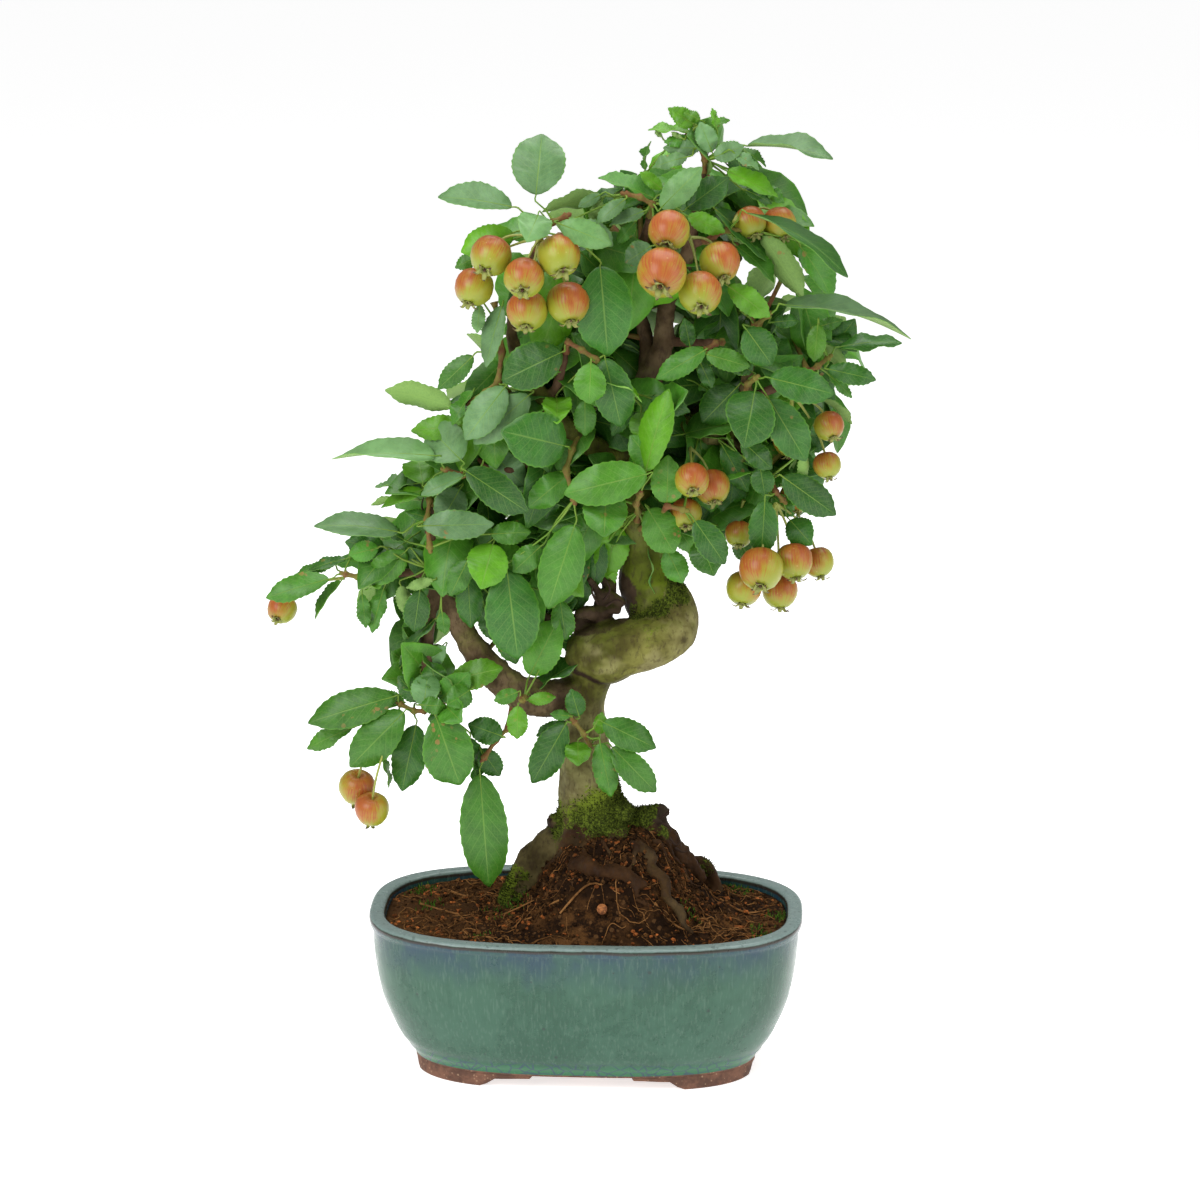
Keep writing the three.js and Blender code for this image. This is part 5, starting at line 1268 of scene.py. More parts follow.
def make_rootlets(soil, chance):
    """Loose fibres and the long pale rootlets."""
    strands = []
    for _ in range(soil.fibres):
        part = math.sqrt(chance.uniform(0, 1)) * 0.985
        start = POT_MIDDLE + Vector(soil_point(part, chance.uniform(-math.pi, math.pi))) * MM
        heading = chance.uniform(0, math.tau)
        points = [start + UP * 0.3 * MM]
        for _ in range(chance.randint(*FIBRE_KNOTS)):
            heading += chance.uniform(-0.6, 0.6)
            step = Vector((math.cos(heading), math.sin(heading), 0)) * chance.uniform(*FIBRE_STEP) * MM
            points.append(on_soil(points[-1] + step, chance.uniform(0.2, 1.1)))
        radius = chance.uniform(*FIBRE_RADIUS)
        strands.append(smooth_path(points, [radius] * len(points), 2))
    for row in ROOTLETS:
        points = [on_soil(seen(*knot), 0.7) for knot in row]
        strands.append(smooth_path(points, [ROOTLET_RADIUS] * (len(points) - 1) + [0.2], 6))
    material = finish("Rootlets", fibre_paint, (soil,), Roughness=0.85, Specular_IOR_Level=0.1)
    make_piece("soil_rootlets", tubes_mesh("soil_rootlets", strands, 1), (material,))


def make_soil_moss(soil, chance):
    """Sprouts of moss and seedlings on the soil."""

    def sprout(shape, place, tint):
        lean = Vector((chance.uniform(-0.6, 0.6), chance.uniform(-0.6, 0.6), 1)).normalized()
        height = chance.uniform(*SPROUT_HEIGHT) * MM
        made = spike(shape, place + lean * height / 2, lean, height, 0.5, 0.08)
        tinted(made, tint, soil.sprout, linear(62, 84, 26), chance)

    spots = []
    for x, y, behind, count, spread in MOSS_PATCHES:
        middle = seen(x, y, behind)
        for _ in range(count):
            away = Vector((chance.gauss(0, spread), chance.gauss(0, spread), 0)) * MM
            spots.append(on_soil(middle + away, -0.2))
    mossy = finish("Soil moss", tint_paint, (600.0, 0.3), Roughness=0.8, Specular_IOR_Level=0.1)
    scattered("soil_moss", spots, sprout, mossy)


def make_soil(soil):
    """The soil bed with its crumbs, bark chips, rootlets, moss and seedlings."""
    chance = random.Random(31)
    make_soil_bed(soil)
    make_litter(soil, chance)
    make_rootlets(soil, chance)
    make_soil_moss(soil, chance)


class BONSAI_OT_soil(bpy.types.Operator):
    """Fill the pot with peaty soil, crumbs, chips, rootlets and moss"""

    bl_idname = "bonsai.soil"
    bl_label = "Soil"

    def execute(self, context):
        make_soil(context.scene.bonsai_soil)
        return {"FINISHED"}


# ---- Wood ----
WOOD_SPANS = 6
WANDER_SEED = 7
STOUT = ("trunk", "bend", "rise")
FILM_SHARES = {"trunk": 0.8, "bend": 0.4, "rise": 1}
SMOOTH_SHARES = {"trunk": 1, "bend": 1, "rise": 0.6, "knob": 0.5}
BULGE = ((-1.6, 0.5), (-1, 0.82), (0, 0.92), (1, 0.82), (1.6, 0.5))  # steps up a knob, and its girth
BULGE_STEP = 0.22
STUBS = ("dead_stub", "old_stub", "left_stub", "right_stub")
MOSSY = ("right_branch", "upper_left", "back_upper", "back_right")
# Spots on the wood as (x, y, behind, reach in mm, strength).
MOSS_SPOTS = (
    (602, 812, 8, 29, 0.95), (634, 802, 6, 18, 1.1), (610, 832, 2, 22, 0.7), (572, 824, 8, 17, 0.7),
    (600, 846, 4, 26, 0.5), (516, 890, 10, 15, 1.1), (528, 872, 10, 12, 0.8), (626, 838, 8, 20, 0.6),
    (656, 838, 6, 12, 0.4), (660, 612, 4, 12, 0.8), (676, 602, 4, 9, 0.7), (678, 584, 6, 8, 0.5),
    (640, 612, 4, 9, 0.5), (640, 470, 10, 16, 0.45), (612, 650, 22, 18, 0.7), (588, 690, 20, 16, 0.5),
    (700, 430, 8, 12, 0.5), (650, 390, 10, 12, 0.5), (566, 430, -4, 10, 0.35), (604, 812, 26, 18, 0.8),
    (706, 868, 24, 9, 0.5),
)
DARK_SPOTS = (
    (560, 690, -8, 10, 0.5), (676, 625, 0, 5, 0.4), (550, 826, 4, 6, 0.7), (663, 816, 6, 9, 1.1),
    (600, 700, 2, 5, 0.3), (662, 560, 2, 7, 0.6), (645, 610, -8, 6, 0.5), (528, 690, -10, 7, 0.5),
    (540, 700, -8, 6, 0.5), (573, 668, -6, 5, 0.6),
)
# Creases and cracks, as spots painted with the dead wood's colour: the dark in the creases is painted
# shade.
SHADED_CREASES = (
    (577, 672, -5, 4.2, 1.0), (583, 676, -7, 4.2, 1.0), (589, 680, -8, 4.2, 1.0), (595, 683, -8, 4.2, 1.0),
    (601, 686, -7, 4.0, 1.0), (606, 689, -5, 3.6, 1.0), (630, 615, 6, 5.0, 0.7), (642, 618, 6, 5.0, 0.9),
    (654, 619, 5, 5.0, 0.95), (666, 616, 4, 5.0, 0.9), (675, 610, 4, 5.0, 0.8), (680, 600, 5, 4.4, 0.7),
    (685, 640, -9, 2.4, 0.6), (634, 662, -12, 1.6, 0.5),
)
# Snags: thin dead twigs and splinters left on old cuts.
SNAGS = (
    ((660, 818, 4), (668, 812, 2), (669, 808, 1)), ((656, 815, 6), (659, 809, 5), (656, 807, 4)),
    ((664, 824, 2), (671, 829, 0), (670, 832, -1)), ((670, 838, 0), (676, 845, -3), (681, 840, -4)),
    ((552, 824, 2), (549, 818, 0), (550, 815, 0)), ((598, 604, -2), (592, 592, -4), (594, 584, -5)),
    ((604, 600, -3), (610, 590, -5), (606, 580, -6)), ((606, 606, -3), (616, 600, -6), (622, 602, -8)),
    ((538, 614, -2), (528, 606, -4), (522, 607, -5)), ((548, 622, -2), (541, 628, -5), (535, 627, -7)),
    ((676, 848, -2), (683, 852, -6), (690, 850, -8)), ((470, 600, -4), (478, 592, -8), (482, 584, -10)),
    ((430, 520, -3), (422, 508, -6), (424, 496, -7)), ((528, 380, -14), (540, 370, -18), (541, 358, -20)),
)
# Swellings and healed cuts: (x, y, behind, diameter in mm).
KNOBS = (
    (622, 812, 0, 13), (616, 836, -6, 15), (592, 842, -6, 14), (640, 842, 0, 15), (562, 846, 6, 14),
    (604, 862, -12, 14), (640, 868, -10, 12), (575, 868, -6, 12), (510, 688, -6, 13), (468, 638, -4, 11),
    (712, 436, 2, 12), (740, 412, -2, 9), (545, 402, -10, 9), (650, 424, 4, 15), (628, 452, 6, 14),
)
# Wood beside the main limbs: broken twigs and lesser roots, laid out as the main tables are.
SIDE_WOOD = (
    ("bend", ((670, 636, 3, 25), (677, 621, 5, 22.5), (674, 605, 9, 22), (665, 588, 13, 18))),
    ("old_stub", ((603, 606, 6, 6), (596, 590, 3, 4.6), (588, 578, 0, 3))),
    ("old_stub", ((605, 592, 5, 5.4), (616, 598, 3, 4.6), (625, 605, 3, 3.4))),
    ("old_stub", ((602, 614, 4, 6), (612, 610, 1, 5), (621, 612, 1, 3.4))),
    ("old_stub", ((598, 614, 4, 8), (588, 612, 0, 7), (575, 614, -2, 5))),
    ("old_stub", ((608, 588, 8, 5), (602, 578, 8, 3.6), (600, 568, 9, 2.4))),
    ("left", (
        (566, 830, 10, 18), (550, 846, 10, 19), (534, 862, 10, 18), (520, 882, 11, 14), (506, 906, 12, 11),
    )),
    ("root", ((646, 826, 8, 16), (664, 842, 10, 15), (682, 860, 12, 13), (700, 880, 14, 9))),
    ("root", (
        (571, 867, -16, 9), (584, 864, -20, 10), (600, 872, -24, 9), (616, 872, -26, 9), (632, 880, -28, 7),
        (646, 888, -29, 5),
    )),
    ("old_root", (
        (633, 842, -10, 9), (648, 856, -14, 8.4), (650, 868, -19, 6.6), (664, 880, -23, 6.4),
        (667, 898, -30, 4.8), (680, 910, -34, 5), (684, 924, -40, 3.6), (694, 934, -43, 2.6),
    )),
)
CUT_ROOT = (602, 909, -37)
CUT_RADIUS = 2.7
CUT_LENGTH = 9
SNAG_RADII = (0.8, 0.5, 0.2)
ROOT_TOP = 118  # heights in mm between which the roots' bark turns into the column's
COLUMN_LOW = 144
BEND_LOW = (184, 196)  # and the column's into the bend's
RISE_TOP = (318, 345)  # and the rise's into the branches'
STRANDS = 18
STRAND_START = (20, 27)
STRAND_END = (42, 60)
STRAND_STEP = 3.5
TUFT_HEIGHT = (0.7, 2.0)
BARE_BELOW = 0.3  # moss share under which no tuft stands
NEAR_KNOTS = 20  # tube points looked at for each point of the skin, and how many of them blend
BLENDED = 4


def spot_share(spots, place):
    """How strongly a place is covered by the nearest of some spots."""
    return max(
        strength * (1 - ease(reach * 0.45, reach, (middle - place).length / MM))
        for middle, reach, strength in spots
    )


def bark_colour(wood, name, height, thickness, side):
    """Bark colour of a limb at a height, thickness and place across the front, all in mm."""
    if name in STUBS:
        return mixed(wood.dead, wood.branch, 0.25)
    if name in ("left", "old_root"):
        return mixed(wood.root, wood.column, 0.36 if name == "left" else 0.05)
    if name in ROOTS or name in ("root", "strand") or height < ROOT_TOP:
        return wood.root
    if name == "rise":
        # The rise is painted dark green, partly algae and partly painted shade under the crown.
        green = mixed(wood.upper, wood.bend, 0.15)
        return mixed(green, mixed(wood.branch, wood.dead, 0.5), ease(*RISE_TOP, height))
    if name in ("trunk", "bend", "knob"):
        low = mixed(wood.root, wood.column, ease(ROOT_TOP, COLUMN_LOW, height))
        # Painted light and shade across the bend: paler towards its right end as painted light, darker and
        # greener towards its left end as painted shade from the leaves above.
        bend = mixed(wood.bend, wood.column, 0.75 * ease(28, 42, side))
        bend = mixed(bend, wood.upper, 0.5 * ease(22, 2, side))
        return mixed(low, bend, ease(*BEND_LOW, height))
    old = wood.upper if name in MOSSY else wood.branch
    return mixed(wood.twig, old, ease(3.5, 10, thickness))


def wood_tubes():
    """Every tube of the grown wood, as (name, points, radii in mm)."""
    noise.seed_set(WANDER_SEED)  # without a seed, noise_vector differs from run to run
    rows = list(zip(STOUT, TRUNK))
    rows += [*LIMBS.items(), *ROOTS.items(), *SIDE_WOOD]
    tubes = []
    for name, row in rows:
        points = [seen(x, y, behind) for x, y, behind, _ in row]
        radii = [diameter / 2 for *_, diameter in row]
        path, sizes = smooth_path(points, radii, WOOD_SPANS)
        wander, swell = (0.06, 0.02) if name in STOUT else (0.22, 0.12)
        for k, (point, radius) in enumerate(zip(path, sizes)):
            aside = noise.noise_vector(point / MM * 0.045) * radius * wander
            path[k] = point + aside * MM * (0 < k < len(path) - 1)
            sizes[k] = radius * (1 + swell * noise.noise(point / MM * 0.11))
        tubes.append((name, path, sizes))
    for x, y, behind, diameter in KNOBS:
        place = seen(x, y, behind)
        step = UP * diameter * BULGE_STEP * MM
        points = [place + step * steps for steps, _ in BULGE]
        tubes.append(("knob", points, [diameter * girth / 2 for _, girth in BULGE]))
    return tubes


def root_strands(chance):
    """Fine roots that run down the mound, half in the soil."""
    tubes = []
    for k in range(STRANDS):
        angle = k * GOLDEN_ANGLE
        away = chance.uniform(*STRAND_START)
        radius = chance.uniform(1.0, 2.0)
        reach = chance.uniform(*STRAND_END)
        points = []
        while away < reach:
            x = MOUND_MIDDLE[0] + math.cos(angle) * away
            y = MOUND_MIDDLE[1] + math.sin(angle) * away * 0.8
            points.append(on_soil(POT_MIDDLE + Vector((x, y, 0)) * MM, radius * 0.15))
            angle += chance.uniform(-0.15, 0.15)
            away += STRAND_STEP
        radii = [radius * (1 - 0.75 * step / len(points)) for step in range(len(points))]
        tubes.append(("strand", *smooth_path(points, radii, 3)))
    return tubes


def bark_paint(nodes, wood):
    """Bark from its tint: pores, algae film and moss."""
    place = nodes.place()
    tint = nodes.attribute("bark_tint", "Color")
    moss = nodes.attribute("moss")
    smooth = nodes.attribute("smooth_bark")
    coarse = nodes.noise(place, 85.0, 3.0, 0.6)
    dim = nodes.mix(nodes.span(coarse, 0.3, 0.68), linear(168, 160, 150), linear(255, 255, 255))
    toned = nodes.mix(1.0, tint, dim, "MULTIPLY")
    pale_at = nodes.times(nodes.span(nodes.noise(place, 46.0), 0.52, 0.66), smooth)
    toned = nodes.mix(nodes.times(pale_at, 0.3), toned, linear(172, 164, 118))
    film_at = nodes.minus(nodes.noise(place, 60.0, 4.0, 0.7, 0.6), 0.5)
    film_at = nodes.span(nodes.plus(nodes.attribute("algae"), film_at), 0.1, 0.95)
    toned = nodes.mix(film_at, toned, wood.lichen)
    rough_bark = nodes.noise(nodes.stretched(place, (1.0, 1.0, 0.4)), 420.0, 5.0, 0.72)
    dark_at = nodes.times(nodes.span(rough_bark, 0.5, 0.36), 0.5)
    toned = nodes.mix(dark_at, toned, wood.dead)
    pores = nodes.specked(nodes.stretched(place, (0.5, 0.5, 1.6)), 240.0, 0.42)
    bars = nodes.specked(nodes.stretched(place, (0.3, 0.3, 1.7)), 90.0, 0.5)
    bars = nodes.times(bars, nodes.span(nodes.split(place)[2], 0.195, 0.18))
    marks = nodes.times(nodes.math("MAXIMUM", nodes.times(pores, 0.6), bars), smooth)
    toned = nodes.mix(nodes.times(marks, 0.6), toned, linear(84, 78, 34))
    fine = nodes.noise(place, 900.0, 4.0, 0.7)
    mossy = nodes.plus(moss, nodes.times(nodes.minus(coarse, 0.5), 1.6))
    mossy = nodes.plus(mossy, nodes.minus(fine, 0.5))
    bare_at = nodes.span(nodes.noise(place, 62.0, 3.0), 0.5, 0.64)
    low = nodes.span(nodes.split(place)[2], 0.124, 0.108)
    mossy = nodes.minus(mossy, nodes.times(nodes.times(bare_at, low), 0.9))
    mossy = nodes.span(mossy, 0.34, 0.6)
    green = nodes.mix(nodes.span(fine, 0.38, 0.62), linear(34, 42, 12), wood.moss)
    bright_at = nodes.span(nodes.noise(place, 34.0), 0.5, 0.62)
    green = nodes.mix(nodes.times(bright_at, 0.6), green, linear(124, 142, 44))
    toned = nodes.mix(mossy, toned, green)
    relief = nodes.plus(rough_bark, nodes.times(mossy, fine))
    relief = nodes.minus(relief, nodes.times(marks, 0.3))
    relief = nodes.times(relief, nodes.minus(1.0, nodes.times(smooth, 0.62)))
    return {
        "Base Color": toned,
        "Roughness": nodes.span(mossy, 0.0, 1.0, 0.66, 0.95),
        "Normal": nodes.bump(relief, 0.65, 0.9),
    }


def write_bark(mesh, tubes, wood):
    """Writes each point's bark tint, moss, algae film and smoothness, and roughens the skin."""
    stout = [pair for name, path, radii in tubes if name in STOUT for pair in zip(path, radii)]
    tree = kdtree.KDTree(sum(len(path) for _, path, _ in tubes))
    known = []
    for name, path, radii in tubes:
        for point, radius in zip(path, radii):
            buried = name not in STOUT and any(
                (point - middle).length < (reach - 1.5) * MM for middle, reach in stout
            )
            if not buried:
                tree.insert(point, len(known))
                known.append((name, radius))
    tree.balance()
    moss_spots = [(seen(*spot[:3]), *spot[3:]) for spot in MOSS_SPOTS]
    dark_and_crease_shade_spots = [(seen(*spot[:3]), *spot[3:]) for spot in (*DARK_SPOTS, *SHADED_CREASES)]
    tints, mosses, films, smooths = [], [], [], []
    places = [vert.co.copy() for vert in mesh.vertices]
    normals = [vert.normal.copy() for vert in mesh.vertices]
    for vert, place, normal in zip(mesh.vertices, places, normals):
        height = place.z / MM
        near = sorted(
            (gap / MM - known[k][1] + 5 * (known[k][0] in STUBS), k)
            for _, k, gap in tree.find_n(place, NEAR_KNOTS)
        )[:BLENDED]
        weights = [1 / (gap - near[0][0] + 1.2) for gap, _ in near]
        name, radius = known[near[0][1]]
        side = (place - AIM).dot(SIDEWAYS) / MM
        colours = [bark_colour(wood, known[k][0], height, known[k][1] * 2, side) for _, k in near]
        tint = [sum(w * c[i] for w, c in zip(weights, colours)) / sum(weights) for i in range(3)]
        dark = min(spot_share(dark_and_crease_shade_spots, place), 1)
        # Dark spots take the dead wood's colour; in the creases it is painted shade.
        tints.append((*mixed(tint, wood.dead, dark), 1))
        young = SMOOTH_SHARES.get(name, 0.15)
        smooth = young * ease(136, 150, height) + 0.15 * ease(150, 136, height)
        smooths.append(smooth)
        up_facing = ease(-0.1, 0.8, normal.z)
        film = (up_facing * 0.95 + 0.35 * (name == "rise")) * FILM_SHARES.get(name, 0.35)
        films.append(min(film, 1) * ease(150, 200, height) * (1 - 0.7 * ease(*RISE_TOP, height)))
        moss = spot_share(moss_spots, place) + 0.25 * up_facing * (name in MOSSY + STOUT)
        mosses.append(moss)
        spot = place / MM
        rough = (noise.noise(spot * 0.16) * 0.9 + noise.noise(spot * 0.5) * 0.5) * (1 - 0.72 * smooth)
        along = noise.noise(Vector((spot.x * 0.6, spot.y * 0.6, spot.z * 0.16)))
        rough += (along + min(moss, 1) * noise.noise(spot * 0.9)) * 0.5 * (1 - smooth)
        reach = min(radius / 6, 1) * (1.8 if "root" in name else 1)
        vert.co = place + normal * rough * reach * MM
    write_floats(mesh, "bark_tint", tints, "FLOAT_COLOR")
    write_floats(mesh, "moss", mosses)
    write_floats(mesh, "algae", films)
    write_floats(mesh, "smooth_bark", smooths)


def cut_paint(nodes):
    """Orange end grain."""
    cloud = nodes.mottled(nodes.place(), 260.0, linear(104, 58, 26), linear(186, 116, 58))
    return {"Base Color": cloud["Color"]}


def make_wood(wood):
    """Trunk, limbs and surface roots in one grown skin with painted moss, and the snags and the cut root as
    pieces of their own.
    """
    chance = random.Random(5)
    tubes = wood_tubes() + root_strands(chance)
    mesh = tubes_mesh("wood", [tube[1:] for tube in tubes], 4)
    mesh = modified(mesh, "REMESH", mode="VOXEL", voxel_size=wood.voxel)
    mesh = modified(mesh, "SMOOTH", factor=0.5, iterations=2)
    write_bark(mesh, tubes, wood)
    mesh.shade_smooth()
    bark = finish("Mossy bark", bark_paint, (wood,), Specular_IOR_Level=0.1)
    make_piece("wood", mesh, (bark,), ("trunk",))
    snags = [smooth_path([seen(*point) for point in row], SNAG_RADII, 4) for row in SNAGS]
    dead = finish("Dead twigs", Base_Color=wood.dead, Roughness=0.85, Specular_IOR_Level=0.15)
    make_piece("snags", tubes_mesh("snags", snags, 1), (dead,))
    cut = bmesh.new()
    turned = TO_VIEWER.to_track_quat("Z", "Y").to_matrix().to_4x4()
    bmesh.ops.create_cone(
        cut, cap_ends=True, segments=24, radius1=CUT_RADIUS * MM, radius2=CUT_RADIUS * 0.92 * MM,
        depth=CUT_LENGTH * MM, matrix=Matrix.Translation(seen(*CUT_ROOT)) @ turned,
    )
    grain = finish("Cut wood", cut_paint, Roughness=0.8)
    make_piece("cut_root", mesh_of(cut, "cut_root"), (grain,))
    return mesh


def make_moss(mesh, wood):
    """Short tufts standing on the mossy bark."""
    chance = random.Random(9)
    mosses = mesh.attributes["moss"].data
    faces = [(face.center.copy(), face.normal.copy()) for face in mesh.polygons]
    weights = [
        max(mosses[face.vertices[0]].value - BARE_BELOW, 0) * face.area for face in mesh.polygons
    ]
    picked = chance.choices(faces, weights, k=wood.tufts)

    def tuft(shape, item, tint):
        place, normal = item
        away = Vector((chance.gauss(0, 0.5), chance.gauss(0, 0.5), chance.gauss(0, 0.5)))
        lean = (normal + away + UP * 0.3).normalized()
        height = chance.uniform(*TUFT_HEIGHT) * MM
        made = spike(shape, place + lean * height * 0.4, lean, height, 0.36, 0.06)
        tinted(made, tint, wood.moss, linear(58, 66, 24), chance)

    mossy = finish("Moss", tint_paint, (500.0, 0.2), Roughness=0.9, Specular_IOR_Level=0.1)
    scattered("moss", picked, tuft, mossy)


class BONSAI_OT_wood(bpy.types.Operator):
    """Grow the trunk, the limbs and the surface roots"""

    bl_idname = "bonsai.wood"
    bl_label = "Wood"

    def execute(self, context):
        make_wood(context.scene.bonsai_wood)
        return {"FINISHED"}


class BONSAI_OT_moss(bpy.types.Operator):
    """Cover the mossy bark with tufts"""

    bl_idname = "bonsai.moss"
    bl_label = "Moss"

    def execute(self, context):
        make_moss(bpy.data.objects["wood"].data, context.scene.bonsai_wood)
        return {"FINISHED"}


# ---- Leafy shoots ----
TOOTH = 0.5  # depth of an edge tooth, in mm
BLADE_SPANS = 20
SMALL_SPANS = 10
BLADE_BOWS = (0.01, 0.08)  # least and most bow, as a share of the length
SMALL_BOWS = (0.03, 0.18)
BLADE_END = 0.04
TWIG_RADIUS = 1.5
NODE_SWELLING = 1.45
BUD_LENGTH = 3
ROSETTE_PETIOLE = 15
ROSETTE_BLADE = 40
ROSETTE_WIDTH = 22
ROSETTE_DROOP = 10
ROSETTE_SPREAD = (0.5, 1.35)
INNER_DEPTH = 12
INNER_PARTS = (0.3, 0.75)  # where a hidden blade starts, as shares of its cluster's spread
INNER_BLADE = (26, 44)
INNER_WIDTH = (0.5, 0.66)
TRIES = 5  # how often a blade that leaves the crown's outline is tried again
INNER_DROOP = (-4, 12)
SHADE_WEIGHTS = (5, 4, 1)  # how often a cluster's own shade, the plain and the young one come
PETIOLE_RADII = (0.7, 0.5, 0.46, 0.4, 0.2, 0.13, 0.08, 0.04)
HEALTHY = 0.72  # share of the blades without rust
OUTLINE = (0.56, 0.64, 0.436)  # powers towards base and tip, and the widest value
SHADES = {"S": "sun", "G": "plain", "D": "shade", "Y": "young", "P": "plain"}


def outline(part):
    """Half width of a blade at a share of its length, 1 at its widest."""
    drawn_out = 1 - 0.35 * ease(0.8, 1, part)
    by_base, by_tip, widest = OUTLINE
    return max(part, 0) ** by_base * max(1 - part, 0) ** by_tip / widest * drawn_out


def place_blade(row, stem_behind):
    """Base, tip, full width in mm and upper normal of a blade from its row on the sheet."""
    base_x, base_y, tip_x, tip_y, across, behind, shown = row
    under = -1 if shown == "P" else 1
    seen_length = math.hypot(tip_x - base_x, tip_y - base_y) * SQUARE
    seen_width = across * SQUARE
    reach = max(seen_length, seen_width / BROAD_BLADE)
    width = max(seen_width, SLIM_BLADE * reach)
    rises = 1 if base_y - tip_y > STEEP_BLADE * abs(tip_x - base_x) else -1
    lean = math.sqrt(reach**2 - seen_length**2) * rises * under
    base = seen(base_x, base_y, stem_behind + behind)
    tip = seen(tip_x, tip_y, stem_behind + behind + lean)
    along, _, flat = frame_along(tip - base, TO_VIEWER * under)
    turn = min(math.acos(min(seen_width / width, 1)), MOST_TURN)
    sides = [Matrix.Rotation(angle, 3, along) @ flat for angle in (turn, -turn)]
    return base, tip, width, max(sides, key=lambda side: side.z)


def blade_surface(base, tip, width, normal, fold, bows, chance):
    """The shape of a blade: gives the place at a share of its length and of its half width."""
    along, across, up = frame_along(tip - base, normal)
    reach = (tip - base).length
    fold *= chance.uniform(0.3, 1.9)
    bow = reach * chance.uniform(*bows)
    curl = chance.gauss(0, 0.5)
    wave = chance.uniform(0.4, 2.2) * MM
    phase = chance.uniform(0, math.tau)

    def place(part, side, tooth=0.0):
        half = (width / 2 * max(outline(part), BLADE_END) - tooth) * MM
        roll = curl * (part - 0.5)
        sideways = across * math.cos(roll) + up * math.sin(roll)
        upward = up * math.cos(roll) - across * math.sin(roll)
        ripple = math.sin(part * 12 + phase + side * 2) * wave * abs(side) * math.sin(math.pi * part)
        middle = base + along * (reach * part) + up * (bow * math.sin(math.pi * part))
        return middle + sideways * (side * half) + upward * (abs(side) * half * fold + ripple)

    return place


def add_blade(shape, layers, place, spans, tint, seed):
    """One serrated blade, folded along its midrib."""
    tint_layer, place_layer, _ = layers
    for vert in bmesh.ops.create_grid(shape, x_segments=spans, y_segments=2, size=0.5)["verts"]:
        part, side = vert.co.x + 0.5, vert.co.y * 2
        toothed = side and round(part * spans) % 2 == 0 and 0.05 < part < 0.97
        vert.co = place(part + (0.012 if side and not toothed and part < 0.97 else 0), side,
                        TOOTH if toothed else 0)
        vert[tint_layer] = (*tint, 1)
        vert[place_layer] = (part, side, seed)


def stalk_tube(stem, surface, base, tip, chance):
    """A petiole from the nearest stem point that runs on as the blade's midrib."""
    node = min(stem[1:], key=lambda point: (point - base).length)
    reach = (base - node).length
    along = (tip - base).normalized()
    sag = Vector((chance.uniform(-1, 1), chance.uniform(-1, 1), chance.uniform(-0.5, 1))) * reach * 0.08
    points = [
        node, node.lerp(base, 0.45) + sag, base - along * min(reach * 0.3, 3 * MM), base,
        surface(0.2, 0), surface(0.45, 0), surface(0.7, 0), surface(0.92, 0),
    ]
    return smooth_path(points, PETIOLE_RADII, 2)


def leaf_tint(leaf, shown, chance):
    """A blade's tint: its side's colour, mixed a little towards young or painted shade, with a random gain
    whose top step is painted light.
    """
    neighbour = leaf.young if chance.random() < 0.3 else leaf.shade
    tint = mixed(getattr(leaf, SHADES[shown]), neighbour, chance.uniform(0, 0.28))
    gain = chance.choice((0.88, 1, 1, 1.22)) * chance.uniform(0.86, 1.12)
    return tuple(value * gain for value in tint)


def nearest_wood(place):
    """The nearest point of the limbs' middle lines."""
    points = [seen(*knot[:3]) for row in (*TRUNK, *LIMBS.values()) for knot in row[1:]]
    return min(points, key=lambda point: (point - place).length)


def inner_blade(head, hidden, angle, spread, shown, chance):
    """One blade round a spur inside the crown, or nothing where it would show outside."""
    outward = SIDEWAYS * math.cos(angle) + UP * math.sin(angle) * 0.8
    outward = (outward + FORWARD * hidden * chance.uniform(-0.5, 0.7)).normalized()
    base = head + outward * spread * chance.uniform(*INNER_PARTS) * MM
    reach = chance.uniform(*INNER_BLADE)
    tip = base + (outward * reach - UP * chance.uniform(*INNER_DROOP)) * MM
    normal = FORWARD * hidden * 0.6 + UP * chance.uniform(0.3, 1.0)
    normal += outward.cross(FORWARD) * chance.uniform(-0.6, 0.6)
    side_shown = chance.choices((shown, "G", "Y"), SHADE_WEIGHTS)[0]
    width = reach * chance.uniform(*INNER_WIDTH)
    across = (tip - base).cross(normal).normalized() * reach * 0.24 * MM
    spots = [base.lerp(tip, part) for part in (0, 0.25, 0.5, 0.75, 1)]
    spots += [spots[2] + across, spots[2] - across]
    if all(in_crown(spot) for spot in spots):
        return base, tip, width, normal, side_shown, SMALL_SPANS
    return None


